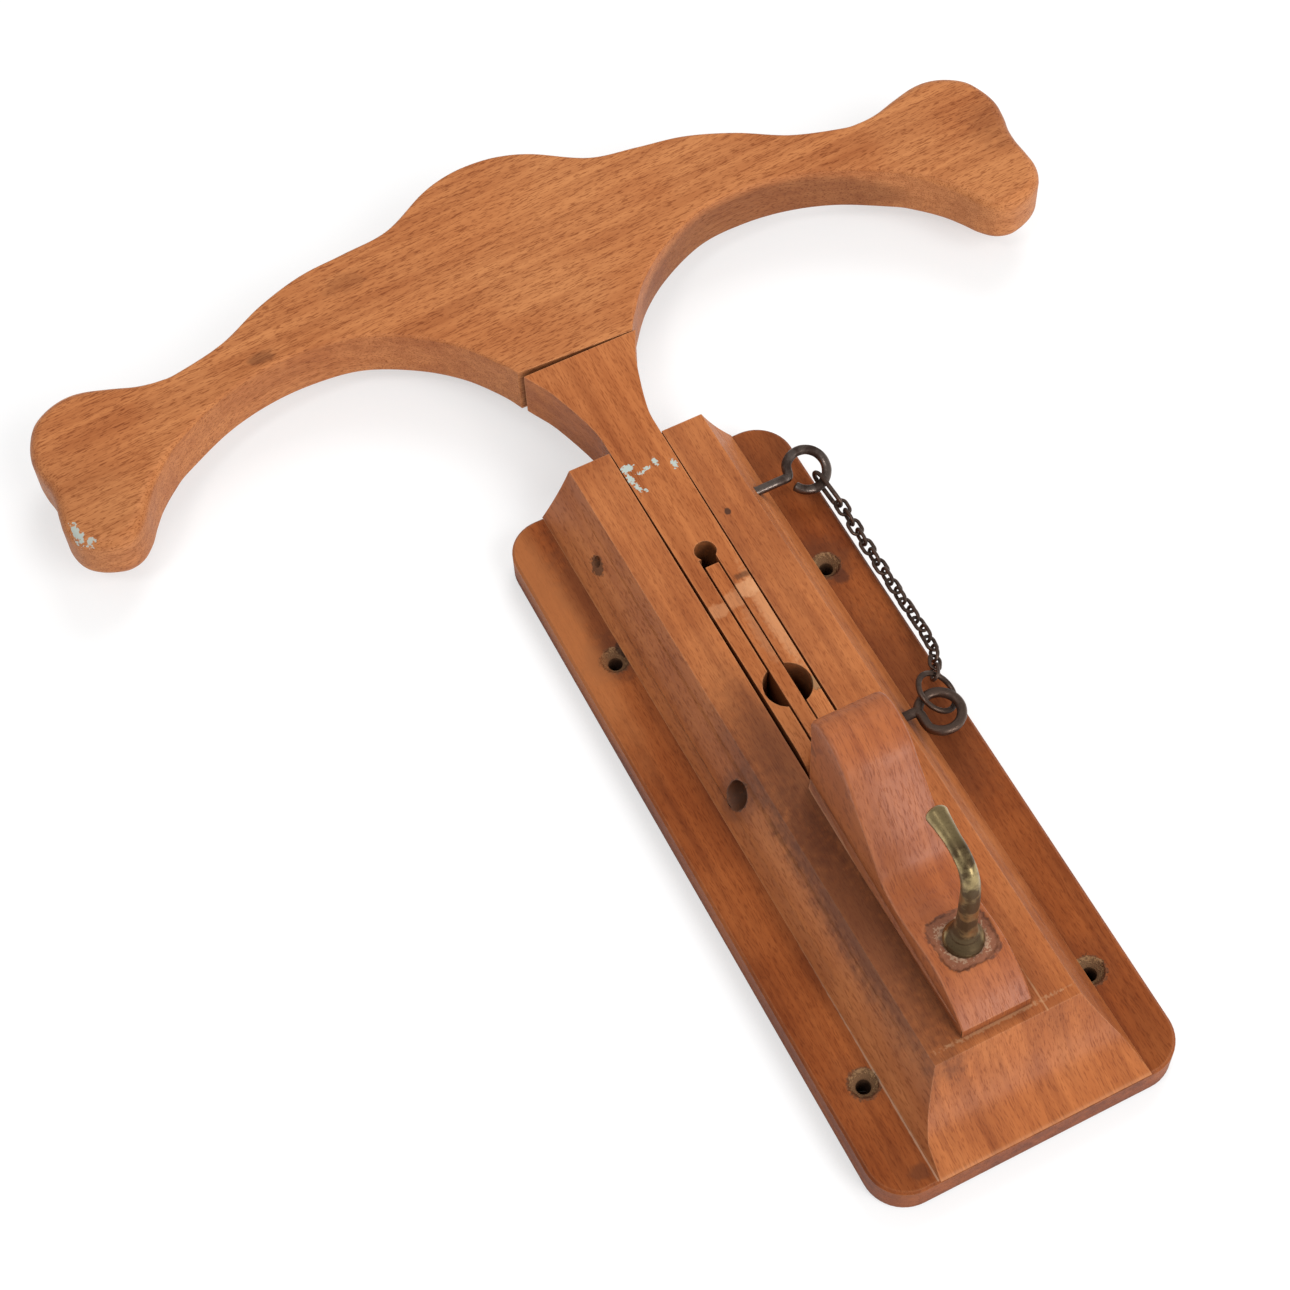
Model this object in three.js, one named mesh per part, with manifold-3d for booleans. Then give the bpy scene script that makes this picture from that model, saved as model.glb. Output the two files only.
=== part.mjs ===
// A wall mounted clothes valet in millimetres, +X to the right, +Y into the wall, +Z up.
// The origin is the centre of the back board's back face, the face that lies on the wall.
// A slotted, coved housing carries a folding arm: a forked neck with a shaped coat yoke on its end.
// The arm and a narrow swing peg inside it turn on one eye pin. A second eye pin on a chain locks the arm.
import * as THREE from "three";
import { mergeVertices } from "three/addons/utils/BufferGeometryUtils.js";
import Module from "manifold-3d";

const wasm = await Module();
wasm.setup();

// Fits that the pieces share
const seatGap = 0.3;
const runningGap = 0.2;
const cutOverrun = 1;
const quarterTurn = Math.PI / 2;
const weldDistance = 1e-4;
const rimShare = 1 / 3;

// Sides of the round pieces and holes
const wallHoleSides = 20;
const barSides = 24;
const screwSides = 12;
const rodSides = 16;
const rodQuarterSides = 4;

// Back board, with heights measured up from its lower edge
const boardWidth = 120;
const boardHeight = 304;
const boardThickness = 14;
const boardCornerRadius = 15;
const boardEdgeRound = 1;
const wallHoleDiameter = 5.5;
const wallSinkDiameter = 11;
const wallSinkDepth = 3;
const wallHoleInset = 14.8;
const wallHoleHeights = { lower: 42.5, upper: 233 };

// Coved housing on the board, open at the top as a slot
const housingRise = 22.8;
const housingTopWidth = 57;
const housingSideCove = 13;
const housingSideSag = 0.8;
const housingEndCove = 29.5;
const housingEndSag = 4.2;
const housingCoveLevels = 8;
const slotWidth = 22.6;
const slotEndHeight = 144;

// Folding arm: neck and yoke
const neckWidth = 22;
const neckTopWidth = 49;
const neckFlareShare = 0.856;
const yokeSpan = 422;
const yokeRise = 116;
const yokeThickness = 23.4;
const yokeJointRise = 49;
const yokeJointGap = 0.4;
const yokeLobeDrop = 8;
const yokeEdgeRound = 1.4;
const yokeLobeRound = 5;
const yokeJointEdge = 0.3;
const yokeTurnDegrees = 2.6;
const yokeShift = 1.2;
const yokeHeelHeight = 10;
const dowelDiameter = 8;
const dowelLength = 44;
const dowelSpacing = 18;

// Swing peg in the neck's slot, with the finger holes beside it
const pegWidth = 6.1;
const pegSideGap = 0.45;
const pegTopHeight = 241;
const pegFrontDrop = 0.5;
const pegSlotTop = 244.5;
const gripHole = { diameter: 18.5, height: 182, offset: 0.5 };
const tipHole = { diameter: 8.5, height: 247.4, offset: 0.8 };

// Corbel under the arm, and the coat hook screwed into it
const corbelWidth = 27;
const corbelFootHeight = 34;
const corbelReach = 53;
const corbelHeadRound = 4;
const hookOffset = 1;
const hookHeight = 59.6;
const hookFlangeDiameter = 14.8;
const hookFlangeThickness = 2.6;
const hookSeatDepth = 53.2;
const hookReach = 49;
const hookRise = 26;
const hookBend = 10.5;
const hookThickness = { root: 8, waist: 5, tip: 7.6 };
const hookScrewDiameter = 4.4;
const hookScrewLength = 15;

// Eye pins of bent iron rod
const pinDiameter = 3.9;
const eyeRadius = 8.05;
const eyeNeckShare = 0.6;
const eyeFirstDegrees = 140;
const eyePullShare = 0.4;
const pivotReach = 11.4;
const pivotEyeX = 47.4;
const pivotEyeDrop = 3.9;
const pivotEyeEndDegrees = -135;
const rivetDiameter = 7;
const rivetThickness = 1.4;
const washerDiameter = 9.8;
const washerThickness = 1.6;
const counterboreDiameter = 10.6;
const counterboreFloorX = -26;
const lockHeight = 269;
const lockReach = 11;
const lockTipX = 13.4;
const lockEyeX = 55.4;
const lockEyeTiltDegrees = 22;
const lockEyeEndDegrees = -149;
const eyeSteps = 60;

// Wood screws, all driven from behind
const screwDiameter = 4;
const screwHeadDiameter = 8;
const screwHeadHeight = 3;
const screwSink = 0.6;
const screwHoleGap = 0.3;
const screwPointLength = 8;
const housingScrewLength = 30;
const housingScrewSide = 24;
const housingScrewHeights = [34, 287];
const corbelScrewLength = 44;
const corbelScrewHeights = [82, 122];

// Chain between the lock pin's eye and a ring in the pivot pin's eye
const linkLength = 8.2;
const linkWidth = 5.6;
const linkWire = 1.4;
const linkCount = 18;
const longLinkLength = 18;
const longLinkWidth = 8.5;
const longLinkWire = 1.9;
const longLinkSlack = 1.7;
const linkMiddleShare = 0.01;
const linkHangDegrees = -60;
const ringDiameter = 18.5;
const ringWire = 2.3;
const ringOffset = { right: 3.2, inward: 0.5, up: 3.9 };
const ringHangDegrees = 25;
const chainDepth = 17.3;
const chainEdgeGap = 2.1;
const chainFallShares = [0.25, 0.5];
const chainLeadLinks = 1.5;

// Places worked out from the sizes above
const housingFront = boardThickness + housingRise;
const pivotDepth = housingFront - pivotReach;
const pivotHeight = slotEndHeight + pivotReach + seatGap;
const lockDepth = pivotDepth - (pivotReach - lockReach);
const yokeJointHeight = boardHeight + yokeJointRise;
const neckTopHeight = yokeJointHeight - yokeJointGap;
const neckFlareRise = neckFlareShare * (neckTopHeight - boardHeight);
const neckStraightTop = neckTopHeight - neckFlareRise;
const neckHalfTop = neckTopWidth / 2;
const yokeFootHeight = yokeJointHeight - yokeLobeDrop;
const neckBack = boardThickness + seatGap;
const tailRadius = pivotDepth - neckBack;
const pinRadius = pinDiameter / 2;
const rivetSeatX = counterboreFloorX - washerThickness - seatGap;

// A point given by its distance to the right, out from the wall and up from the board's lower edge
function place(right, depth, height) {
  return new THREE.Vector3(right, -depth, height);
}

function solidFrom(geometry) {
  const bare = geometry.clone();
  bare.deleteAttribute("normal");
  bare.deleteAttribute("uv");
  const merged = mergeVertices(bare, weldDistance);
  return new wasm.Manifold(
    new wasm.Mesh({
      numProp: 3,
      vertProperties: new Float32Array(merged.attributes.position.array),
      triVerts: new Uint32Array(merged.index.array),
    }),
  );
}

function geometryFrom(solid) {
  const mesh = solid.getMesh();
  const shared = new THREE.BufferGeometry();
  shared.setAttribute("position", new THREE.BufferAttribute(mesh.vertProperties, 3));
  shared.setIndex(new THREE.BufferAttribute(mesh.triVerts, 1));
  const geometry = shared.toNonIndexed();
  geometry.computeVertexNormals();
  return geometry;
}

function joined(geometries) {
  return geometryFrom(geometries.map(solidFrom).reduce((whole, next) => whole.add(next)));
}

function cut(geometry, cutters) {
  const start = solidFrom(geometry);
  return geometryFrom(cutters.map(solidFrom).reduce((rest, cutter) => rest.subtract(cutter), start));
}

function common(first, second) {
  return geometryFrom(solidFrom(first).intersect(solidFrom(second)));
}

function mirrored(points) {
  return points.map((point) => new THREE.Vector2(-point.x, point.y)).reverse();
}

function smoothRun(points, steps) {
  return new THREE.SplineCurve(points).getPoints(steps);
}

// A closed outline in right and up, extruded away from the wall
function extrudeOutwards(shape, fromDepth, toDepth, edgeRound = 0) {
  const geometry = new THREE.ExtrudeGeometry(shape, {
    depth: toDepth - fromDepth - 2 * edgeRound,
    bevelEnabled: edgeRound > 0,
    bevelThickness: edgeRound,
    bevelSize: edgeRound,
    bevelOffset: -edgeRound,
    bevelSegments: 1,
    curveSegments: 6,
  });
  geometry.translate(0, 0, edgeRound);
  geometry.rotateX(quarterTurn);
  geometry.translate(0, -fromDepth, 0);
  return geometry;
}

// A closed outline in depth and up, extruded from side to side about the middle
function extrudeSideways(shape, width) {
  const geometry = new THREE.ExtrudeGeometry(shape, {
    depth: width,
    bevelEnabled: false,
    curveSegments: 3,
  });
  geometry.translate(0, 0, -width / 2);
  const outward = new THREE.Vector3(0, -1, 0);
  const up = new THREE.Vector3(0, 0, 1);
  const left = new THREE.Vector3(-1, 0, 0);
  geometry.applyMatrix4(new THREE.Matrix4().makeBasis(outward, up, left));
  return geometry;
}

function boxBetween(low, high) {
  const size = new THREE.Vector3().subVectors(high, low);
  const centre = new THREE.Vector3().addVectors(low, high).multiplyScalar(1 / 2);
  const geometry = new THREE.BoxGeometry(Math.abs(size.x), Math.abs(size.y), Math.abs(size.z));
  geometry.translate(centre.x, centre.y, centre.z);
  return geometry;
}

// A round bar square to the wall; the outer radius is the one furthest from the wall
function outwardBar(right, height, fromDepth, toDepth, radius, outerRadius = radius, sides = barSides) {
  const geometry = new THREE.CylinderGeometry(radius, outerRadius, toDepth - fromDepth, sides);
  geometry.translate(right, -(fromDepth + toDepth) / 2, height);
  return geometry;
}

// A round bar from side to side
function sidewaysBar(depth, height, fromX, toX, radius) {
  const geometry = new THREE.CylinderGeometry(radius, radius, toX - fromX, barSides);
  geometry.rotateZ(quarterTurn);
  geometry.translate((fromX + toX) / 2, -depth, height);
  return geometry;
}

function roundedRectangle(width, height, radius) {
  const shape = new THREE.Shape();
  const side = width / 2;
  shape.moveTo(radius - side, 0);
  shape.lineTo(side - radius, 0);
  shape.absarc(side - radius, radius, radius, -quarterTurn, 0);
  shape.absarc(side - radius, height - radius, radius, 0, quarterTurn);
  shape.absarc(radius - side, height - radius, radius, quarterTurn, 2 * quarterTurn);
  shape.absarc(radius - side, radius, radius, 2 * quarterTurn, 3 * quarterTurn);
  return shape;
}

function screwCutter(right, height, length) {
  const shank = screwDiameter / 2 + screwHoleGap;
  const head = screwHeadDiameter / 2 + screwHoleGap;
  return [
    outwardBar(right, height, -cutOverrun, length + screwSink + seatGap, shank, shank, screwSides),
    outwardBar(right, height, screwSink, screwHeadHeight + screwSink + seatGap, head, shank, screwSides),
    outwardBar(right, height, -cutOverrun, screwSink, head, head, screwSides),
  ];
}

// Back board: rounded corners, four countersunk holes for the wall and screw holes from behind
function backBoard() {
  const board = extrudeOutwards(
    roundedRectangle(boardWidth, boardHeight, boardCornerRadius), 0, boardThickness, boardEdgeRound);
  const cutters = [];
  for (const side of [-1, 1]) {
    for (const height of Object.values(wallHoleHeights)) {
      const right = side * (boardWidth / 2 - wallHoleInset);
      const radius = wallHoleDiameter / 2;
      const sinkRadius = wallSinkDiameter / 2;
      const sinkFloor = boardThickness - wallSinkDepth;
      const front = boardThickness + cutOverrun;
      cutters.push(outwardBar(right, height, -cutOverrun, front, radius, radius, wallHoleSides));
      cutters.push(outwardBar(right, height, sinkFloor, boardThickness, radius, sinkRadius, wallHoleSides));
      cutters.push(outwardBar(right, height, boardThickness, front, sinkRadius, sinkRadius, wallHoleSides));
    }
  }
  for (const screw of screwPlaces()) {
    cutters.push(...screwCutter(screw.right, screw.height, screw.length));
  }
  return cut(board, cutters);
}

function screwPlaces() {
  const places = [];
  for (const height of housingScrewHeights) {
    for (const side of [-1, 1]) {
      const right = side * housingScrewSide;
      places.push({ name: "housing_screw", right, height, length: housingScrewLength });
    }
  }
  for (const height of corbelScrewHeights) {
    places.push({ name: "corbel_screw", right: 0, height, length: corbelScrewLength });
  }
  return places;
}

// How far a coved face has drawn in at a share of the housing's rise
function coveInset(riseShare, run, sag) {
  return run * riseShare + 4 * sag * riseShare * (1 - riseShare);
}

// Housing blank: rectangles that shrink from the foot to the front, so the coves meet in mitres
function covedBlank() {
  const positions = [];
  const footHalf = housingTopWidth / 2 + housingSideCove;
  for (let level = 0; level <= housingCoveLevels; level += 1) {
    const share = level / housingCoveLevels;
    const half = footHalf - coveInset(share, housingSideCove, housingSideSag);
    const bottom = coveInset(share, housingEndCove, housingEndSag);
    const y = -(boardThickness + share * housingRise);
    positions.push(-half, y, bottom, half, y, bottom, half, y, boardHeight, -half, y, boardHeight);
  }
  const indices = [0, 2, 1, 0, 3, 2];
  for (let level = 0; level < housingCoveLevels; level += 1) {
    for (let corner = 0; corner < 4; corner += 1) {
      const a = level * 4 + corner;
      const b = level * 4 + ((corner + 1) % 4);
      indices.push(a, b, b + 4, a, b + 4, a + 4);
    }
  }
  const last = housingCoveLevels * 4;
  indices.push(last, last + 1, last + 2, last, last + 2, last + 3);
  const geometry = new THREE.BufferGeometry();
  geometry.setAttribute("position", new THREE.Float32BufferAttribute(positions, 3));
  geometry.setIndex(indices);
  return geometry;
}

function housingBlock() {
  const footHalf = housingTopWidth / 2 + housingSideCove;
  const cutters = [
    boxBetween(
      place(-slotWidth / 2, housingFront + cutOverrun, slotEndHeight),
      place(slotWidth / 2, boardThickness - cutOverrun, boardHeight + cutOverrun)),
    sidewaysBar(pivotDepth, pivotHeight, -footHalf, footHalf, pinRadius + runningGap),
    sidewaysBar(lockDepth, lockHeight, -footHalf, footHalf, pinRadius + runningGap),
    sidewaysBar(pivotDepth, pivotHeight, -footHalf, counterboreFloorX, counterboreDiameter / 2),
  ];
  for (const screw of screwPlaces()) {
    cutters.push(...screwCutter(screw.right, screw.height, screw.length));
  }
  return cut(covedBlank(), cutters);
}

// Side outline of a bar that hangs on the pivot: round about the pin, straight above it
function hangingSide(frontDepth, topHeight) {
  const shape = new THREE.Shape();
  shape.moveTo(neckBack, pivotHeight);
  shape.absarc(pivotDepth, pivotHeight, tailRadius, 2 * quarterTurn, 4 * quarterTurn);
  shape.lineTo(frontDepth, pivotHeight + tailRadius);
  shape.lineTo(frontDepth, topHeight);
  shape.lineTo(neckBack, topHeight);
  return shape;
}

// Front outline of the neck, swelling to the width of the yoke's foot
const neckFlareSteps = 12;
const neckFlareShares = [
  [0, 0],
  [0.04, 0.12],
  [0.22, 0.36],
  [0.55, 0.7],
  [0.82, 0.88],
  [1, 1],
];

function neckFront() {
  const half = neckWidth / 2;
  const swell = (neckTopWidth - neckWidth) / 2;
  const tail = pivotHeight - tailRadius - cutOverrun;
  const flare = neckFlareShares.map(
    ([out, up]) => new THREE.Vector2(half + out * swell, neckStraightTop + up * neckFlareRise));
  const right = [new THREE.Vector2(half, tail), ...smoothRun(flare, neckFlareSteps)];
  return new THREE.Shape([...right, ...mirrored(right)]);
}

function neck() {
  const blank = common(
    extrudeOutwards(neckFront(), neckBack, housingFront),
    extrudeSideways(hangingSide(housingFront, neckTopHeight), neckTopWidth + 2 * cutOverrun));
  const through = [neckBack - cutOverrun, housingFront + cutOverrun];
  const slotHalf = pegWidth / 2 + pegSideGap;
  return cut(blank, [
    boxBetween(
      place(-slotHalf, through[1], pivotHeight - tailRadius - cutOverrun),
      place(slotHalf, through[0], pegSlotTop)),
    outwardBar(gripHole.offset, gripHole.height, ...through, gripHole.diameter / 2),
    outwardBar(tipHole.offset, tipHole.height, ...through, tipHole.diameter / 2),
    sidewaysBar(pivotDepth, pivotHeight, -neckWidth, neckWidth, pinRadius + runningGap),
    sidewaysBar(lockDepth, lockHeight, -neckWidth, neckWidth, pinRadius + runningGap),
    ...dowelBars(runningGap),
  ]);
}

function dowelBars(gap) {
  return [-1, 1].map((side) => {
    const bar = new THREE.CylinderGeometry(
      dowelDiameter / 2 + gap, dowelDiameter / 2 + gap, dowelLength + 2 * gap, barSides);
    bar.rotateX(quarterTurn);
    bar.translate(side * dowelSpacing / 2, -pivotDepth, yokeJointHeight);
    return bar;
  });
}

const yokeOutlineSteps = 148;
const yokeRimSteps = 3;
const yokeRoundingShares = [0.7, 0.9];

// Half of the yoke's upper edge from the crown to the lobe, as shares of the half span
// and of the rise above the lobe's lowest point
const yokeUpperShares = [
  [0.057, 0.989],
  [0.118, 0.948],
  [0.213, 0.845],
  [0.308, 0.815],
  [0.403, 0.789],
  [0.498, 0.724],
  [0.592, 0.629],
  [0.687, 0.578],
  [0.725, 0.572],
  [0.768, 0.586],
  [0.815, 0.621],
  [0.863, 0.652],
  [0.9, 0.657],
  [0.938, 0.636],
  [0.972, 0.591],
  [0.991, 0.526],
  [1, 0.457],
];

// The lobe's end and the lower edge back to the joint, with the first share counted
// from the neck's side to the end of the span
const yokeLowerShares = [
  [0.997, 0.388],
  [0.989, 0.328],
  [0.987, 0.267],
  [0.991, 0.198],
  [0.992, 0.134],
  [0.979, 0.074],
  [0.954, 0.036],
  [0.922, 0.012],
  [0.89, 0.003],
  [0.858, 0.021],
  [0.831, 0.066],
  [0.81, 0.122],
  [0.783, 0.185],
  [0.743, 0.254],
  [0.7, 0.31],
  [0.592, 0.405],
  [0.485, 0.457],
  [0.378, 0.472],
  [0.271, 0.451],
  [0.164, 0.366],
  [0.083, 0.26],
  [0.024, 0.135],
];

function yokeFront() {
  const half = yokeSpan / 2;
  const reach = half - neckHalfTop;
  const upper = yokeUpperShares.map(
    ([out, up]) => new THREE.Vector2(out * half, yokeFootHeight + up * yokeRise));
  const lower = yokeLowerShares.map(
    ([out, up]) => new THREE.Vector2(neckHalfTop + out * reach, yokeFootHeight + up * yokeRise));
  const right = [...upper, ...lower, new THREE.Vector2(neckHalfTop, yokeJointHeight)];
  const crown = new THREE.Vector2(0, yokeFootHeight + yokeRise);
  return smoothRun([...mirrored(right), crown, ...right], yokeOutlineSteps).reverse();
}

// The yoke's edges are nearly sharp along the arches, round at the lobes and square at the joint
function yokeEdgeAt(point) {
  const { lerp, smoothstep } = THREE.MathUtils;
  const out = Math.abs(point.x);
  const [start, end] = yokeRoundingShares.map((share) => share * yokeSpan / 2);
  const edge = lerp(yokeEdgeRound, yokeLobeRound, smoothstep(out, start, end));
  const away = Math.max(out - neckHalfTop, point.y - yokeJointHeight);
  return lerp(yokeJointEdge, edge, smoothstep(away, 0, yokeHeelHeight));
}

// A slab between two depths whose rims are rounded by a radius of their own at each point
// of the outline, which runs anticlockwise
function roundedSlab(outline, edgeAt, fromDepth, toDepth, rimSteps) {
  const count = outline.length;
  const inward = outline.map((point, i) => {
    const along = outline[(i + 1) % count].clone().sub(outline[(i + count - 1) % count]).normalize();
    return new THREE.Vector2(-along.y, along.x);
  });
  const rims = Array.from({ length: rimSteps + 1 }, (_, step) => quarterTurn * (1 - step / rimSteps));
  const rows = [
    ...rims.map((angle) => ({ angle, seat: fromDepth, side: 1 })),
    ...rims.reverse().map((angle) => ({ angle, seat: toDepth, side: -1 })),
  ];
  const positions = [];
  for (const { angle, seat, side } of rows) {
    outline.forEach((point, i) => {
      const edge = edgeAt(point);
      const flat = point.clone().addScaledVector(inward[i], edge * (1 - Math.cos(angle)));
      const depth = seat + side * edge * (1 - Math.sin(angle));
      positions.push(...place(flat.x, depth, flat.y).toArray());
    });
  }
  const indices = [];
  for (let row = 0; row < rows.length - 1; row += 1) {
    for (let i = 0; i < count; i += 1) {
      const a = row * count + i;
      const b = row * count + ((i + 1) % count);
      indices.push(a, b, b + count, a, b + count, a + count);
    }
  }
  const rim = outline.map((point, i) => point.clone().addScaledVector(inward[i], edgeAt(point)));
  const last = (rows.length - 1) * count;
  for (const [a, b, c] of THREE.ShapeUtils.triangulateShape(rim, [])) {
    indices.push(c, b, a, last + a, last + b, last + c);
  }
  const geometry = new THREE.BufferGeometry();
  geometry.setAttribute("position", new THREE.Float32BufferAttribute(positions, 3));
  geometry.setIndex(indices);
  return geometry;
}

// The old glue has let go on the left, so the yoke leans about the joint's right end
function yoke() {
  const whole = roundedSlab(
    yokeFront(), yokeEdgeAt, housingFront - yokeThickness, housingFront, yokeRimSteps);
  whole.translate(-neckHalfTop, 0, -yokeJointHeight);
  whole.rotateY(THREE.MathUtils.degToRad(yokeTurnDegrees));
  whole.translate(neckHalfTop - yokeShift, 0, yokeJointHeight);
  return cut(whole, dowelBars(runningGap));
}

function swingPeg() {
  const front = housingFront - pegFrontDrop;
  const bar = extrudeSideways(hangingSide(front, pegTopHeight), pegWidth);
  return cut(bar, [sidewaysBar(pivotDepth, pivotHeight, -pegWidth, pegWidth, pinRadius + runningGap)]);
}

// Side outline of the corbel, from its foot over the waist to the head,
// as shares of how far it stands off the housing and of its height
const corbelOutlineShares = [
  [0.21, 0.065],
  [0.296, 0.145],
  [0.312, 0.22],
  [0.29, 0.3],
  [0.258, 0.373],
  [0.264, 0.445],
  [0.33, 0.515],
  [0.5, 0.587],
  [0.626, 0.645],
  [0.758, 0.709],
  [0.9, 0.768],
  [0.975, 0.836],
  [0.996, 0.9],
  [0.956, 0.95],
  [0.86, 0.986],
  [0.74, 1],
];
const corbelToeShare = 0.1;

// Front outline of the corbel, with the corners of its head rounded
function corbelFront() {
  const shape = new THREE.Shape();
  const side = corbelWidth / 2;
  const shoulder = slotEndHeight - corbelHeadRound;
  const foot = corbelFootHeight - cutOverrun;
  shape.moveTo(-side, foot);
  shape.lineTo(side, foot);
  shape.absarc(side - corbelHeadRound, shoulder, corbelHeadRound, 0, quarterTurn);
  shape.absarc(corbelHeadRound - side, shoulder, corbelHeadRound, quarterTurn, 2 * quarterTurn);
  return shape;
}

function corbel() {
  const height = slotEndHeight - corbelFootHeight;
  const shape = new THREE.Shape();
  shape.moveTo(housingFront, corbelFootHeight);
  shape.lineTo(housingFront + corbelToeShare * corbelReach, corbelFootHeight);
  shape.splineThru(corbelOutlineShares.map(([out, up]) => new THREE.Vector2(
    housingFront + out * corbelReach, corbelFootHeight + up * height)));
  shape.lineTo(housingFront, slotEndHeight);
  const block = common(extrudeSideways(shape, corbelWidth), extrudeOutwards(
    corbelFront(), housingFront - cutOverrun, housingFront + corbelReach + cutOverrun));
  const cutters = [outwardBar(
    hookOffset, hookHeight, hookSeatDepth - hookScrewLength - seatGap, hookSeatDepth + hookReach,
    hookScrewDiameter / 2 + seatGap)];
  cutters.push(outwardBar(
    hookOffset, hookHeight, hookSeatDepth - seatGap, hookSeatDepth + hookReach,
    hookFlangeDiameter / 2 + seatGap));
  for (const screw of screwPlaces()) {
    cutters.push(...screwCutter(screw.right, screw.height, screw.length));
  }
  return cut(block, cutters);
}

// A round bar of changing thickness along a path in the plane of depth and height
function taperedBar(right, route, radii, sides) {
  const positions = [];
  const indices = [];
  const across = new THREE.Vector3(1, 0, 0);
  route.forEach((point, i) => {
    const before = route[Math.max(i - 1, 0)];
    const after = route[Math.min(i + 1, route.length - 1)];
    const along = new THREE.Vector3().subVectors(after, before).normalize();
    const outer = new THREE.Vector3().crossVectors(along, across);
    for (let side = 0; side < sides; side += 1) {
      const angle = (side / sides) * 2 * Math.PI;
      const spot = point.clone()
        .addScaledVector(across, radii[i] * Math.cos(angle))
        .addScaledVector(outer, radii[i] * Math.sin(angle));
      positions.push(spot.x + right, spot.y, spot.z);
    }
  });
  for (let i = 0; i + 1 < route.length; i += 1) {
    for (let side = 0; side < sides; side += 1) {
      const a = i * sides + side;
      const b = i * sides + ((side + 1) % sides);
      indices.push(a, b, b + sides, a, b + sides, a + sides);
    }
  }
  const first = positions.length / 3;
  positions.push(route[0].x + right, route[0].y, route[0].z);
  const end = route[route.length - 1];
  positions.push(end.x + right, end.y, end.z);
  const top = (route.length - 1) * sides;
  for (let side = 0; side < sides; side += 1) {
    const next = (side + 1) % sides;
    indices.push(first, next, side);
    indices.push(first + 1, top + side, top + next);
  }
  const geometry = new THREE.BufferGeometry();
  geometry.setAttribute("position", new THREE.Float32BufferAttribute(positions, 3));
  geometry.setIndex(indices);
  return geometry;
}

// Coat hook: a turned flange, a wood screw behind it and an upturned shank with a rounded end
function coatHook() {
  const straight = hookReach - hookBend;
  const rise = hookRise - hookBend;
  const route = [place(0, hookSeatDepth + hookFlangeThickness / 2, hookHeight)];
  const radii = [hookThickness.root / 2];
  const flangeFront = hookSeatDepth + hookFlangeThickness;
  const straightSteps = 5;
  for (let i = 1; i <= straightSteps; i += 1) {
    const share = i / straightSteps;
    route.push(place(0, flangeFront + share * (hookSeatDepth + straight - flangeFront), hookHeight));
    const swell = (hookThickness.root - hookThickness.waist) / 2;
    radii.push(hookThickness.waist / 2 + swell * (1 - share) ** 2);
  }
  const bendSteps = 8;
  for (let i = 1; i <= bendSteps; i += 1) {
    const angle = (i / bendSteps) * quarterTurn;
    route.push(place(
      0,
      hookSeatDepth + straight + hookBend * Math.sin(angle),
      hookHeight + hookBend * (1 - Math.cos(angle))));
    radii.push(hookThickness.waist / 2);
  }
  const tipRadius = hookThickness.tip / 2;
  const neckRise = rise - tipRadius;
  const riseSteps = 3;
  for (let i = 1; i <= riseSteps; i += 1) {
    const share = i / riseSteps;
    route.push(place(0, hookSeatDepth + hookReach, hookHeight + hookBend + share * neckRise));
    radii.push(hookThickness.waist / 2 + (tipRadius - hookThickness.waist / 2) * share);
  }
  const tipSteps = 4;
  for (let i = 1; i < tipSteps; i += 1) {
    const angle = (i / tipSteps) * quarterTurn;
    route.push(place(
      0, hookSeatDepth + hookReach, hookHeight + hookBend + neckRise + tipRadius * Math.sin(angle)));
    radii.push(tipRadius * Math.cos(angle));
  }
  const shank = taperedBar(hookOffset, route, radii, rodSides);
  const flangeRadius = hookFlangeDiameter / 2;
  const flange = new THREE.LatheGeometry(
    [
      new THREE.Vector2(0, 0),
      new THREE.Vector2(flangeRadius, 0),
      new THREE.Vector2(flangeRadius, hookFlangeThickness * rimShare),
      new THREE.Vector2(hookThickness.root / 2 + seatGap, hookFlangeThickness),
      new THREE.Vector2(0, hookFlangeThickness),
    ],
    barSides);
  flange.rotateX(2 * quarterTurn);
  flange.translate(hookOffset, -hookSeatDepth, hookHeight);
  const screw = outwardBar(
    hookOffset, hookHeight, hookSeatDepth - hookScrewLength, hookSeatDepth + seatGap,
    hookScrewDiameter / 4, hookScrewDiameter / 2, screwSides);
  return joined([shank, flange, screw]);
}

function rodAlong(curve, diameter) {
  const section = new THREE.Shape();
  section.absarc(0, 0, diameter / 2, 0, 4 * quarterTurn);
  return new THREE.ExtrudeGeometry(section, {
    steps: eyeSteps,
    curveSegments: rodQuarterSides,
    bevelEnabled: false,
    extrudePath: curve,
  });
}

// The round part of an eye, run from one angle to another in the plane of X and Z
class EyeArc extends THREE.Curve {
  constructor(centre, firstDegrees, lastDegrees, overSide) {
    super();
    this.centre = centre;
    this.firstDegrees = firstDegrees;
    this.lastDegrees = lastDegrees;
    this.overSide = overSide;
  }

  getPoint(share, target = new THREE.Vector3()) {
    const degrees = this.firstDegrees + (this.lastDegrees - this.firstDegrees) * share;
    const angle = THREE.MathUtils.degToRad(degrees);
    return target.set(Math.cos(angle), 0, this.overSide * Math.sin(angle))
      .multiplyScalar(eyeRadius)
      .add(this.centre);
  }
}

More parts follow.
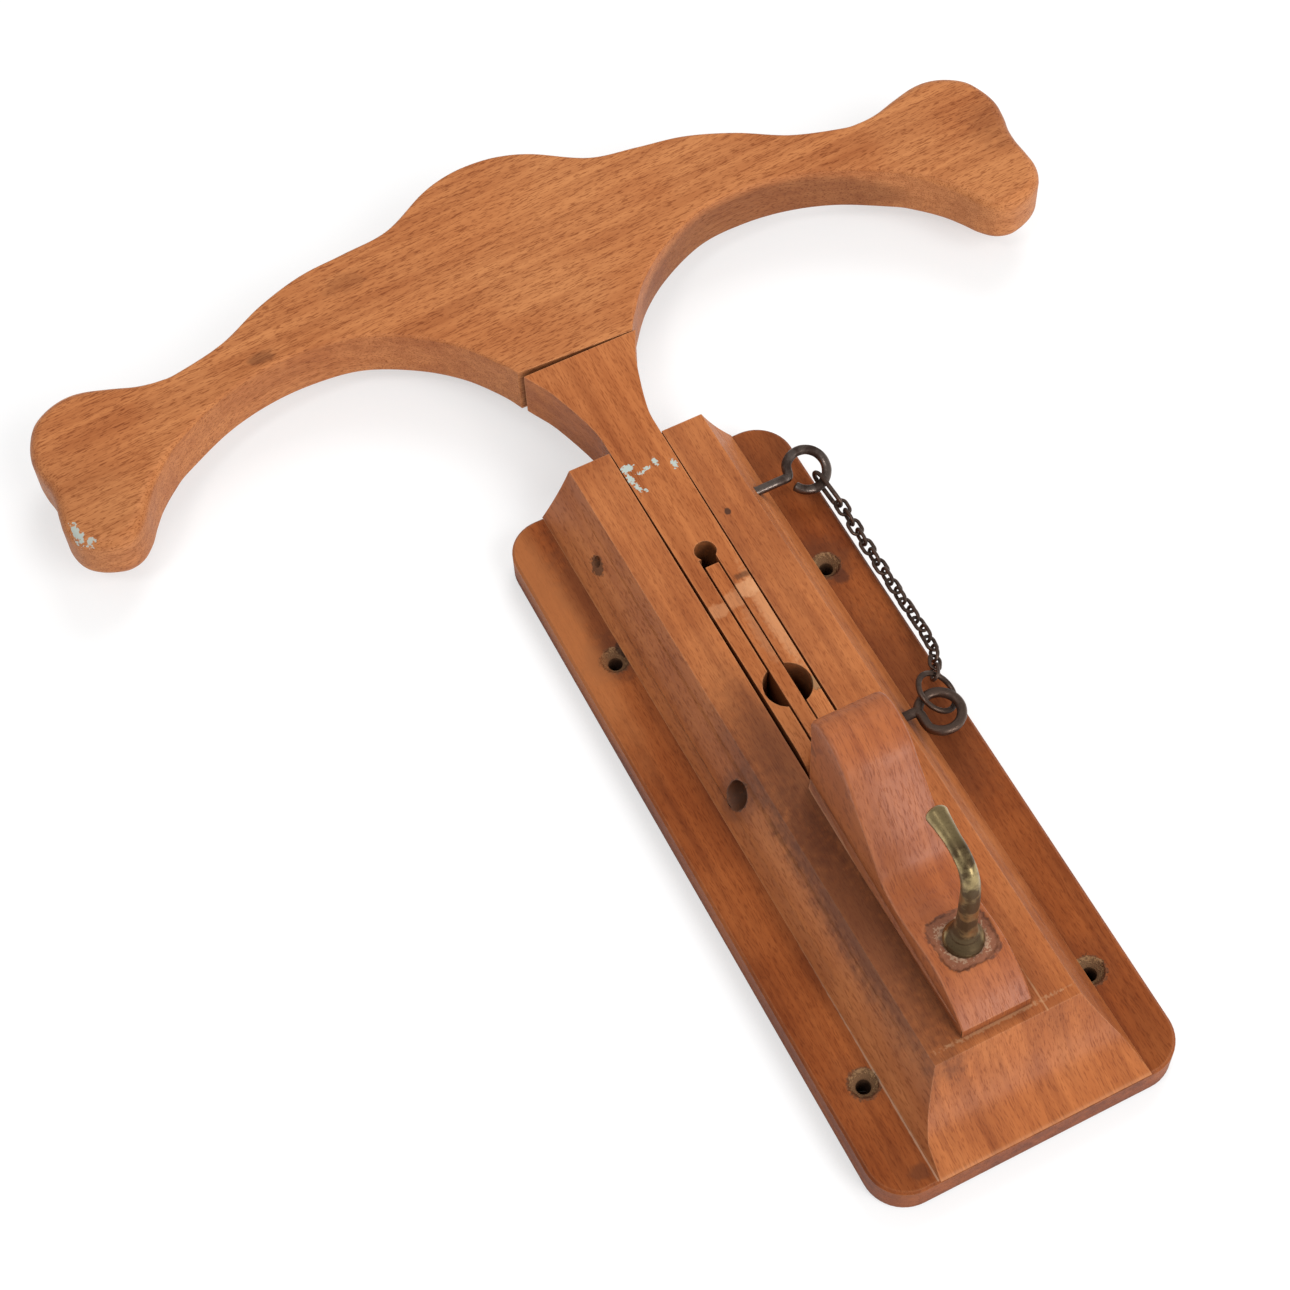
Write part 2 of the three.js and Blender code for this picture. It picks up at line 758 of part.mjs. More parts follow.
// Eye pin of bent rod in its own frame: the shank lies along X, then the rod bends to one side,
// goes round the eye and comes back beside the shank.
function eyePin(tipX, eyeX, eyeZ, overSide, lastDegrees) {
  const centre = new THREE.Vector3(eyeX, 0, eyeZ);
  const arc = new EyeArc(centre, eyeFirstDegrees, lastDegrees, overSide);
  const neckEnd = new THREE.Vector3(eyeX - eyeRadius - eyeNeckShare * pinDiameter, 0, 0);
  const arcStart = arc.getPoint(0);
  const pull = neckEnd.distanceTo(arcStart) * eyePullShare;
  const route = new THREE.CurvePath();
  route.add(new THREE.LineCurve3(new THREE.Vector3(tipX, 0, 0), neckEnd));
  route.add(new THREE.CubicBezierCurve3(
    neckEnd,
    neckEnd.clone().add(new THREE.Vector3(pull, 0, 0)),
    arcStart.clone().addScaledVector(arc.getTangent(0), -pull),
    arcStart));
  route.add(arc);
  return rodAlong(route, pinDiameter);
}

function rivetHead() {
  const radius = rivetDiameter / 2;
  const head = new THREE.LatheGeometry(
    [
      new THREE.Vector2(0, 0),
      new THREE.Vector2(radius, 0),
      new THREE.Vector2(radius, rivetThickness * rimShare),
      new THREE.Vector2(pinRadius, rivetThickness),
      new THREE.Vector2(0, rivetThickness),
    ],
    rodSides);
  head.rotateZ(quarterTurn);
  head.translate(rivetSeatX, 0, 0);
  return head;
}

function pivotPin() {
  const rod = eyePin(rivetSeatX - rivetThickness / 2, pivotEyeX, -pivotEyeDrop, -1, pivotEyeEndDegrees);
  return joined([rod, rivetHead()]);
}

function pivotWasher() {
  const half = washerThickness / 2;
  return cut(
    sidewaysBar(0, 0, -half, half, washerDiameter / 2),
    [sidewaysBar(0, 0, -washerThickness, washerThickness, pinRadius + runningGap)]);
}

// Wood screw: countersunk head behind, point in front
function woodScrew(length) {
  const head = screwHeadDiameter / 2;
  const shank = screwDiameter / 2;
  const geometry = new THREE.LatheGeometry(
    [
      new THREE.Vector2(0, 0),
      new THREE.Vector2(head, 0),
      new THREE.Vector2(shank, screwHeadHeight),
      new THREE.Vector2(shank, length - screwPointLength),
      new THREE.Vector2(0, length),
    ],
    screwSides);
  geometry.rotateX(2 * quarterTurn);
  return geometry;
}

// Oval link: a ring drawn out along X, lying in the plane of X and Y
function ovalLink(length, width, wire, steps, sides) {
  const geometry = new THREE.TorusGeometry((width - wire) / 2, wire / 2, sides, steps);
  const stretch = (length - width) / 2;
  const spots = geometry.getAttribute("position");
  const middle = width * linkMiddleShare;
  for (let i = 0; i < spots.count; i += 1) {
    const x = spots.getX(i);
    if (Math.abs(x) > middle) spots.setX(i, x + Math.sign(x) * stretch);
  }
  return geometryFrom(solidFrom(geometry));
}

function finish(colour, roughness, metalness) {
  return new THREE.MeshStandardMaterial({ color: colour, roughness, metalness, flatShading: true });
}

const finishes = {
  stainedBeech: () => finish(0xa5592b, 0.42, 0),
  redBeech: () => finish(0x9c4a22, 0.38, 0),
  paleBeech: () => finish(0xc08a58, 0.6, 0),
  darkIron: () => finish(0x3d2f29, 0.48, 0.85),
  agedBrass: () => finish(0xa8843f, 0.38, 0.9),
  steel: () => finish(0x8b8f93, 0.4, 0.9),
};

function piece(name, geometry, material) {
  const mesh = new THREE.Mesh(geometry, material);
  mesh.name = name;
  return mesh;
}

function fixedBase() {
  const base = new THREE.Group();
  base.add(piece("back_board", backBoard(), finishes.stainedBeech()));
  base.add(piece("housing_block", housingBlock(), finishes.stainedBeech()));
  base.add(piece("corbel", corbel(), finishes.redBeech()));
  base.add(piece("coat_hook", coatHook(), finishes.agedBrass()));
  const counts = {};
  for (const screw of screwPlaces()) {
    counts[screw.name] = (counts[screw.name] || 0) + 1;
    const mesh = piece(`${screw.name}_${counts[screw.name]}`, woodScrew(screw.length), finishes.steel());
    mesh.position.copy(place(screw.right, screwSink, screw.height));
    base.add(mesh);
  }
  const pin = piece("pivot_pin", pivotPin(), finishes.darkIron());
  pin.position.copy(place(0, pivotDepth, pivotHeight));
  base.add(pin);
  const washer = piece("pivot_washer", pivotWasher(), finishes.darkIron());
  washer.position.copy(place(counterboreFloorX - washerThickness / 2, pivotDepth, pivotHeight));
  base.add(washer);
  return base;
}

function foldingArm() {
  const arm = new THREE.Group();
  arm.add(piece("neck", neck(), finishes.stainedBeech()));
  arm.add(piece("yoke", yoke(), finishes.stainedBeech()));
  dowelBars(0).forEach((bar, i) => arm.add(piece(`joint_dowel_${i + 1}`, bar, finishes.paleBeech())));
  return arm;
}

function lockPin() {
  const pin = piece("lock_pin", eyePin(lockTipX, lockEyeX, 0, 1, lockEyeEndDegrees), finishes.darkIron());
  pin.position.copy(place(0, lockDepth, lockHeight));
  pin.rotation.x = THREE.MathUtils.degToRad(lockEyeTiltDegrees);
  return pin;
}

// Turns an oval link so that its length lies along one direction and its face square to another
function lay(mesh, centre, along, facing) {
  const length = along.clone().normalize();
  const normal = facing.clone().addScaledVector(length, -facing.dot(length)).normalize();
  const width = new THREE.Vector3().crossVectors(normal, length);
  mesh.quaternion.setFromRotationMatrix(new THREE.Matrix4().makeBasis(length, width, normal));
  mesh.position.copy(centre);
  return mesh;
}

// Ring in the pivot pin's eye, leaning out on its left side
const ringCentre = place(
  pivotEyeX + ringOffset.right, pivotDepth - ringOffset.inward, pivotHeight + ringOffset.up);
const ringFacing = place(0.51, 0.848, -0.143).normalize();
const ringRadius = (ringDiameter - ringWire) / 2;
const longLinkRun = place(0.243, -0.513, -0.822).normalize();
const longLinkFacing = place(0.965, 0.056, 0.25).normalize();
const chainStartRun = place(0.04, -0.08, -1).normalize();
const chainEndRun = place(-0.45, 0.25, -0.86).normalize();

// Where the chain hangs on the ring's wire, and the wire's direction there
function ringHang() {
  const up = new THREE.Vector3(0, 0, 1);
  const high = up.addScaledVector(ringFacing, -up.dot(ringFacing)).normalize();
  const right = new THREE.Vector3().crossVectors(high, ringFacing).normalize();
  const angle = THREE.MathUtils.degToRad(ringHangDegrees);
  const spot = ringCentre.clone()
    .addScaledVector(high, ringRadius * Math.cos(angle))
    .addScaledVector(right, ringRadius * Math.sin(angle));
  const wire = right.clone().multiplyScalar(Math.cos(angle)).addScaledVector(high, -Math.sin(angle));
  return { spot, wire };
}

function chainRing() {
  const mesh = piece(
    "chain_ring", new THREE.TorusGeometry(ringRadius, ringWire / 2, 8, 28), finishes.darkIron());
  mesh.quaternion.setFromUnitVectors(new THREE.Vector3(0, 0, 1), ringFacing);
  mesh.position.copy(ringCentre);
  return mesh;
}

// Two directions square to the chain's run, the first as near to the right as can be
function rollFrame(along) {
  const right = new THREE.Vector3(1, 0, 0).addScaledVector(along, -along.x).normalize();
  return { right, across: new THREE.Vector3().crossVectors(along, right) };
}

function rollOf(direction, along) {
  const frame = rollFrame(along);
  return Math.atan2(direction.dot(frame.across), direction.dot(frame.right));
}

function facingAt(roll, along) {
  const frame = rollFrame(along);
  return frame.right.multiplyScalar(Math.cos(roll)).addScaledVector(frame.across, Math.sin(roll));
}

// Chain: the long link hangs on the lock pin's eye, the small links run down to the ring
function chain() {
  const group = new THREE.Group();
  const tilt = THREE.MathUtils.degToRad(lockEyeTiltDegrees);
  const hookAngle = THREE.MathUtils.degToRad(linkHangDegrees);
  const eyeWire = place(
    lockEyeX + eyeRadius * Math.cos(hookAngle),
    lockDepth + eyeRadius * Math.sin(hookAngle) * Math.sin(tilt),
    lockHeight + eyeRadius * Math.sin(hookAngle) * Math.cos(tilt));
  const insideEnd = longLinkLength / 2 - longLinkWire;
  const longCentre = eyeWire.clone()
    .addScaledVector(longLinkRun, insideEnd - pinRadius - longLinkSlack);
  group.add(lay(
    piece("long_link", ovalLink(longLinkLength, longLinkWidth, longLinkWire, 20, 7), finishes.darkIron()),
    longCentre, longLinkRun, longLinkFacing));

  const wireReach = (linkLength - linkWire) / 2;
  const lowestWay = chainStartRun.clone()
    .addScaledVector(longLinkFacing, -chainStartRun.dot(longLinkFacing))
    .normalize();
  const longLowest = longCentre.clone()
    .addScaledVector(longLinkRun, (longLinkLength - longLinkWidth) / 2)
    .addScaledVector(lowestWay, (longLinkWidth - longLinkWire) / 2);
  const firstCentre = longLowest.clone().addScaledVector(
    chainStartRun, wireReach - (longLinkWire + linkWire) / 2 - seatGap);
  const hang = ringHang();
  const ringReach = wireReach - (ringWire + linkWire) / 2 - seatGap;
  const lastCentre = hang.spot.clone().addScaledVector(chainEndRun, -ringReach);
  const runX = boardWidth / 2 + chainEdgeGap;
  const drop = firstCentre.z - lastCentre.z;
  const route = new THREE.CatmullRomCurve3([
    firstCentre,
    ...chainFallShares.map((share) => place(runX, chainDepth, firstCentre.z - share * drop)),
    lastCentre.clone().addScaledVector(chainEndRun, -chainLeadLinks * linkLength),
    lastCentre,
  ]);
  const longWire = new THREE.Vector3().crossVectors(longLinkFacing, lowestWay);
  const firstRoll = rollOf(longWire, route.getTangentAt(0));
  const lastRoll = rollOf(hang.wire, route.getTangentAt(1));
  const quarterTurns = quarterTurn * (linkCount - 1);
  const twist = Math.atan(Math.tan(lastRoll - firstRoll - quarterTurns));
  for (let i = 0; i < linkCount; i += 1) {
    const share = i / (linkCount - 1);
    const along = route.getTangentAt(share);
    const facing = facingAt(firstRoll + i * quarterTurn + share * twist, along);
    const name = `chain_link_${String(i + 1).padStart(2, "0")}`;
    group.add(lay(
      piece(name, ovalLink(linkLength, linkWidth, linkWire, 16, 6), finishes.darkIron()),
      route.getPointAt(share), along, facing));
  }
  return group;
}

const assembly = new THREE.Group();
assembly.position.z = -boardHeight / 2;
assembly.add(fixedBase(), foldingArm());
assembly.add(piece("swing_peg", swingPeg(), finishes.stainedBeech()));
assembly.add(lockPin(), chainRing(), chain());

const group = new THREE.Group();
group.add(assembly);

export default group;
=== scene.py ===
"""Looks of a wall mounted clothes valet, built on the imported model.

Every piece is in metres in the model's own axes: +X to the right, +Y into the wall, +Z up.
The boards of the carcass and the arm get softened edges, the yoke, corbel, hook, pins and chain
are worked out as smooth surfaces, and each finish is a small class of its own.
"""

import logging
import math
from collections.abc import Callable
from dataclasses import dataclass
from enum import Enum

import bmesh
import bpy
import numpy as np
from mathutils import Matrix, Vector


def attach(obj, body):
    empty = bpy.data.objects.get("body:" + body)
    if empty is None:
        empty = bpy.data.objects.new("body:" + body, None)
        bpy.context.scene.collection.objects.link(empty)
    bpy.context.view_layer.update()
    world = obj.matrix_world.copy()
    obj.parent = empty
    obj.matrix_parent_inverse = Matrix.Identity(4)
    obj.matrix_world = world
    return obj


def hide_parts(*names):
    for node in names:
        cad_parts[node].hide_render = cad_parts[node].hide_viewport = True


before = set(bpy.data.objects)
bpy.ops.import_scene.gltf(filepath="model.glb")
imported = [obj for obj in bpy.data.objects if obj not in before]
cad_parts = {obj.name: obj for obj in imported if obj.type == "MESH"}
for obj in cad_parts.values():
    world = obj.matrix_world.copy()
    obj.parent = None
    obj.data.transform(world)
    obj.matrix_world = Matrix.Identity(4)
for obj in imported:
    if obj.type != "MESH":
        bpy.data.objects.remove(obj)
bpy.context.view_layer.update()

LOG = logging.getLogger("clothes_valet")
MM = 0.001
BOARD_MIDDLE = 152.0
BOARD_FRONT = 14.0
HOUSING_FRONT = 36.8

Colour = tuple[float, float, float]
Triple = tuple[float, float, float]


def spot(right: float, depth: float, height: float) -> np.ndarray:
    """Turns a place on the valet into the model's frame.

    Args:
        right: distance to the right of the middle, in mm.
        depth: distance out from the wall, in mm.
        height: height above the board's lower edge, in mm.

    Returns:
        The point in metres.
    """
    return np.array([right, -depth, height - BOARD_MIDDLE]) * MM


# Shapes


def shell(name: str, rows: np.ndarray, close_rows: bool, cap_ends: bool) -> bpy.types.Object:
    """Makes a closed, smooth piece from a grid of points.

    Args:
        name: the piece's name.
        rows: points of shape (rows, points in a row, 3); each row is a closed ring.
        close_rows: joins the last row to the first.
        cap_ends: closes the first and the last row with a flat face.

    Returns:
        The new object, at the origin.
    """
    count, around = rows.shape[:2]
    index = np.arange(count * around).reshape(count, around)
    low = index if close_rows else index[:-1]
    high = np.roll(index, -1, axis=0) if close_rows else index[1:]
    faces = np.stack(
        [low, np.roll(low, -1, axis=1), np.roll(high, -1, axis=1), high], axis=-1
    ).reshape(-1, 4).tolist()
    if cap_ends:
        faces += [index[0].tolist(), index[-1].tolist()]
    mesh = bpy.data.meshes.new(name)
    mesh.from_pydata(rows.reshape(-1, 3).tolist(), [], faces)
    return finished_object(name, mesh)


def finished_object(name: str, mesh: bpy.types.Mesh) -> bpy.types.Object:
    """Points a mesh's faces outwards, shades it smooth and puts it into the scene.

    Args:
        name: the piece's name.
        mesh: its mesh, in metres.

    Returns:
        The new object, at the origin.
    """
    work = bmesh.new()
    work.from_mesh(mesh)
    bmesh.ops.remove_doubles(work, verts=work.verts, dist=1e-7)
    bmesh.ops.recalc_face_normals(work, faces=work.faces)
    work.to_mesh(mesh)
    work.free()
    corners = np.empty(len(mesh.polygons), np.int32)
    mesh.polygons.foreach_get("loop_total", corners)
    mesh.polygons.foreach_set("use_smooth", corners <= 4)
    mesh.update()
    piece = bpy.data.objects.new(name, mesh)
    bpy.context.scene.collection.objects.link(piece)
    return piece


def smooth_run(points: np.ndarray, steps: int) -> np.ndarray:
    """Runs a Catmull-Rom curve through points.

    Between the points p1 and p2 the curve is the usual cubic blend of p0, p1, p2 and p3, and the
    end points are counted twice.

    Args:
        points: points of shape (count, axes).
        steps: points on each stretch.

    Returns:
        The curve's points, the last one included.
    """
    before = np.vstack([points[:1], points[:-2]])
    after = np.vstack([points[2:], points[-1:]])
    start, end = points[:-1], points[1:]
    share = (np.arange(steps) / steps)[None, :, None]
    leave, arrive = (end - before)[:, None] / 2, (after - start)[:, None] / 2
    a, b = start[:, None], end[:, None]
    run = (
        (2 * a - 2 * b + leave + arrive) * share**3
        + (-3 * a + 3 * b - 2 * leave - arrive) * share**2
        + leave * share
        + a
    )
    return np.vstack([run.reshape(-1, points.shape[1]), points[-1:]])


def smooth_share(values: np.ndarray, start: float, end: float) -> np.ndarray:
    """Rises from 0 at the start to 1 at the end as 3 s^2 - 2 s^3."""
    share = np.clip((values - start) / (end - start), 0, 1)
    return share * share * (3 - 2 * share)


def inward_normals(outline: np.ndarray) -> np.ndarray:
    """Unit vectors that point into a closed outline that runs anticlockwise.

    Args:
        outline: anticlockwise points of shape (count, 2).

    Returns:
        Vectors of the same shape.
    """
    along = np.roll(outline, -1, axis=0) - np.roll(outline, 1, axis=0)
    along /= np.linalg.norm(along, axis=1, keepdims=True)
    return np.stack([-along[:, 1], along[:, 0]], axis=1)


def rounded_slab(outline: np.ndarray, half: float, radius: np.ndarray, rows_across: int) -> np.ndarray:
    """Carries a closed outline across a slab whose two rims are rounded.

    On a rim, at the angle a from 0 to 90 degrees, the outline has moved in by r (1 - cos a) and
    out to the level half - r + r sin a, where r is the edge radius at that place.

    Args:
        outline: anticlockwise points of shape (count, 2).
        half: half the slab's thickness.
        radius: the edge radius at each point.
        rows_across: rows on the plain stretch between the rims.

    Returns:
        Points of shape (rows, count, 3): the outline's two axes and the level.
    """
    inward = inward_normals(outline)
    angle = np.linspace(math.pi / 2, 0, 7)
    moved = radius[None] * (1 - np.cos(angle))[:, None]
    level = half - radius[None] + radius[None] * np.sin(angle)[:, None]
    across = np.linspace(-1, 1, rows_across + 2)[1:-1, None] * (half - radius)[None]
    moved = np.vstack([moved, np.zeros_like(across), moved[::-1]])
    level = np.vstack([-level, across, level[::-1]])
    flat = outline[None] + inward[None] * moved[..., None]
    return np.concatenate([flat, level[..., None]], axis=-1)


def bar_along(route: np.ndarray, radii: np.ndarray, flat_axis: np.ndarray, sides: int) -> np.ndarray:
    """Carries a circle of changing radius along a route that lies in a plane.

    The circle is r (cos a n + sin a f), where f is the plane's normal and n is square to both f
    and the route.

    Args:
        route: points of shape (count, 3).
        radii: the radius at each point.
        flat_axis: the normal of the plane.
        sides: points round the circle.

    Returns:
        Points of shape (count, sides, 3).
    """
    along = np.gradient(route, axis=0)
    along /= np.linalg.norm(along, axis=1, keepdims=True)
    side = np.cross(along, flat_axis)
    side /= np.linalg.norm(side, axis=1, keepdims=True)
    angle = np.linspace(0, 2 * math.pi, sides, endpoint=False)
    circle = np.cos(angle)[None, :, None] * side[:, None] + np.sin(angle)[None, :, None] * flat_axis
    return route[:, None] + radii[:, None, None] * circle


def domed(route: np.ndarray, radii: np.ndarray, bulge: float) -> tuple[np.ndarray, np.ndarray]:
    """Adds a rounded end to both ends of a bar.

    At the angle a the radius is r cos a, and the end has moved out by bulge r sin a.

    Args:
        route: points of shape (count, 3).
        radii: the radius at each point.
        bulge: the end's height as a share of the bar's radius.

    Returns:
        The longer route and its radii.
    """
    angle = np.linspace(0, math.pi / 2, 6)[1:]
    angle[-1] -= 0.02
    first, last = route[0] - route[1], route[-1] - route[-2]
    first, last = first / np.linalg.norm(first), last / np.linalg.norm(last)
    head = route[0] + (bulge * radii[0] * np.sin(angle))[:, None] * first
    tail = route[-1] + (bulge * radii[-1] * np.sin(angle))[:, None] * last
    longer = np.vstack([head[::-1], route, tail])
    return longer, np.concatenate([(radii[0] * np.cos(angle))[::-1], radii, radii[-1] * np.cos(angle)])


def softened_copy(
        node: str, name: str, width: float, reshape: Callable[..., tuple] | None = None) -> bpy.types.Object:
    """Copies a CAD node, joins its loose triangles and rounds its sharp edges a little.

    Args:
        node: the CAD node.
        name: the new piece's name.
        width: the width of the rounding, in mm.
        reshape: turns the points' right, depth and height in mm into new ones.

    Returns:
        The new piece, with a live bevel.
    """
    work = bmesh.new()
    work.from_mesh(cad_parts[node].data)
    bmesh.ops.remove_doubles(work, verts=work.verts, dist=2e-6)
    bmesh.ops.dissolve_limit(work, angle_limit=math.radians(0.6), verts=work.verts, edges=work.edges)
    work.verts.index_update()
    places = np.array([vertex.co for vertex in work.verts])
    if reshape:
        right, depth, height = places[:, 0] / MM, -places[:, 1] / MM, places[:, 2] / MM + BOARD_MIDDLE
        right, depth, height = reshape(right, depth, height)
        places = np.stack([right, -depth, height - BOARD_MIDDLE], axis=1) * MM
    mesh = bpy.data.meshes.new(name)
    mesh.from_pydata(places.tolist(), [], [[vertex.index for vertex in face.verts] for face in work.faces])
    work.free()
    mesh.polygons.foreach_set("use_smooth", np.ones(len(mesh.polygons), bool))
    piece = bpy.data.objects.new(name, mesh)
    bpy.context.scene.collection.objects.link(piece)
    bevel = piece.modifiers.new("soft_edges", "BEVEL")
    bevel.width = width * MM
    bevel.segments = 3
    bevel.limit_method = "ANGLE"
    bevel.angle_limit = math.radians(32)
    bevel.harden_normals = True
    return piece


def settle(
        piece: bpy.types.Object, node: str, body: str, material: bpy.types.Material) -> None:
    """Dresses a piece and lets it stand for a CAD node on that node's body.

    Args:
        piece: the new piece.
        node: the CAD node that it stands for.
        body: the body that it rides on.
        material: its material.
    """
    piece.data.materials.clear()
    piece.data.materials.append(material)
    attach(piece, body)
    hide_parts(node)
    LOG.info("%s stands for %s, %d faces", piece.name, node, len(piece.data.polygons))


def dress_node(node: str, material: bpy.types.Material) -> None:
    """Gives a CAD node that stays a better material.

    Args:
        node: the CAD node.
        material: its material.
    """
    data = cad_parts[node].data
    data.materials.clear()
    data.materials.append(material)
    LOG.info("%s keeps its own shape", node)


# Shader nodes


class NodeSheet:
    """Adds nodes to one tree, and joins them by name."""

    def __init__(self, tree: bpy.types.NodeTree) -> None:
        """Starts on an empty tree."""
        self.tree = tree
        self.tree.nodes.clear()

    def add(self, kind: str, inputs: dict | None = None, **settings: object) -> bpy.types.Node:
        """Adds a node.

        Args:
            kind: the node's type without the word ShaderNode in front.
            inputs: values or sockets for its inputs, by name or number.
            settings: its other settings.

        Returns:
            The node.
        """
        node = self.tree.nodes.new(kind if kind.startswith("Node") else f"ShaderNode{kind}")
        node.location = (len(self.tree.nodes) * 180, 0)
        for key, value in settings.items():
            setattr(node, key, value)
        for key, value in (inputs or {}).items():
            if isinstance(value, bpy.types.NodeSocket):
                self.tree.links.new(value, node.inputs[key])
            else:
                node.inputs[key].default_value = value
        return node

    def math(self, operation: str, *values: object) -> bpy.types.NodeSocket:
        """The result of a sum on numbers or sockets."""
        node = self.add("Math", dict(enumerate(values)), operation=operation)
        return node.outputs[0]

    def clamped(self, value: bpy.types.NodeSocket, factor: float) -> bpy.types.NodeSocket:
        """A value times a factor, kept between 0 and 1."""
        node = self.add("Math", {0: value, 1: factor}, operation="MULTIPLY", use_clamp=True)
        return node.outputs[0]

    def blend(
            self, share: object, first: object, second: object, mode: str = "MIX") -> bpy.types.NodeSocket:
        """A mix of two colours."""
        node = self.add("Mix", {0: share, 6: first, 7: second}, data_type="RGBA", blend_type=mode)
        return node.outputs[2]

    def noise(
            self, vector: object, scale: object, detail: float = 2.0, rough: float = 0.5
    ) -> bpy.types.NodeSocket:
        """Noise at a scale in waves per metre."""
        node = self.add("TexNoise", {"Vector": vector, "Scale": scale, "Detail": detail, "Roughness": rough})
        return node.outputs[0]

    def stretched(self, vector: object, scale: Triple, turn: Triple = (0, 0, 0)) -> bpy.types.NodeSocket:
        """Coordinates turned and scaled by a Mapping node."""
        return self.add("Mapping", {"Vector": vector, "Rotation": turn, "Scale": scale}).outputs[0]

    def range(
            self, value: object, low: object, high: object, first: float = 0.0, last: float = 1.0
    ) -> bpy.types.NodeSocket:
        """A value carried from one range to another with a soft start and end."""
        node = self.add(
            "MapRange", {0: value, 1: low, 2: high, 3: first, 4: last}, interpolation_type="SMOOTHSTEP")
        return node.outputs[0]

    def put_out(self, ends: dict[bpy.types.NodeSocket, bpy.types.NodeSocket]) -> None:
        """Joins each of a group's output sockets to the socket that feeds it."""
        for end, feed in ends.items():
            self.tree.links.new(feed, end)


def new_group(name: str, inputs: dict[str, object], outputs: dict[str, str]) -> tuple[NodeSheet, dict, dict]:
    """Starts a shader node group.

    Args:
        name: the group's name.
        inputs: the default value of each input by name: a number, a colour or a vector.
        outputs: the socket type of each output by name.

    Returns:
        Its sheet, its input sockets and a table of its output sockets, all by name.
    """
    tree = bpy.data.node_groups.new(name, "ShaderNodeTree")
    kinds = {float: "NodeSocketFloat", tuple: "NodeSocketVector", list: "NodeSocketColor"}
    for key, value in inputs.items():
        socket = tree.interface.new_socket(key, in_out="INPUT", socket_type=kinds[type(value)])
        socket.default_value = value
    for key, kind in outputs.items():
        tree.interface.new_socket(key, in_out="OUTPUT", socket_type=kind)
    sheet = NodeSheet(tree)
    start, end = sheet.add("NodeGroupInput"), sheet.add("NodeGroupOutput")
    return sheet, {key: start.outputs[key] for key in inputs}, {key: end.inputs[key] for key in outputs}


def beech_grain_group() -> bpy.types.NodeTree:
    """Stained beech with its grain along Z: slow figure, short dark flecks and broad changes of tone.

    Returns:
        The group.
    """
    sheet, given, out = new_group(
        "beech_grain",
        {"Vector": (0.0, 0.0, 0.0), "Pale": [0.5, 0.2, 0.1, 1.0], "Mid": [0.4, 0.15, 0.05, 1.0],
         "Deep": [0.3, 0.1, 0.03, 1.0], "Flecks": 1.0, "Figure": 1.0},
        {"Colour": "NodeSocketColor", "Height": "NodeSocketFloat", "Gloss": "NodeSocketFloat"})
    vector = given["Vector"]
    figure = sheet.noise(sheet.stretched(vector, (1, 1, 0.06)), 120, 5, 0.6)
    figure = sheet.range(figure, 0.34, 0.68)
    rings = sheet.noise(sheet.stretched(vector, (1, 1, 0.03)), 420, 3, 0.55)
    rings = sheet.range(rings, 0.36, 0.66)
    broad = sheet.range(sheet.noise(vector, 17, 3, 0.6), 0.36, 0.66)
    flecks = sheet.noise(sheet.stretched(vector, (1, 1, 0.13)), 2300, 2, 0.5)
    flecks = sheet.range(flecks, 0.50, 0.68)
    rays = sheet.noise(sheet.stretched(vector, (1, 1, 0.28)), 900, 1, 0.4)
    rays = sheet.range(rays, 0.60, 0.72)
    tone = sheet.math("MULTIPLY", figure, given["Figure"])
    colour = sheet.blend(tone, given["Mid"], given["Deep"])
    pale = sheet.math("MULTIPLY", broad, 0.55)
    colour = sheet.blend(pale, colour, given["Pale"])
    colour = sheet.blend(sheet.math("MULTIPLY", rings, 0.42), colour, [0.62, 0.48, 0.42, 1.0], "MULTIPLY")
    dark = sheet.math("MAXIMUM", flecks, sheet.math("MULTIPLY", rays, 0.3))
    dark = sheet.math("MULTIPLY", dark, given["Flecks"])
    colour = sheet.blend(sheet.clamped(dark, 0.5), colour, [0.42, 0.28, 0.22, 1.0], "MULTIPLY")
    height = sheet.math("MULTIPLY", flecks, -0.000022)
    height = sheet.math("ADD", height, sheet.math("MULTIPLY", rings, 0.000012))
    gloss = sheet.math("MULTIPLY", sheet.math("ADD", flecks, broad), 0.5)
    sheet.put_out({out["Colour"]: colour, out["Height"]: height, out["Gloss"]: gloss})
    return sheet.tree


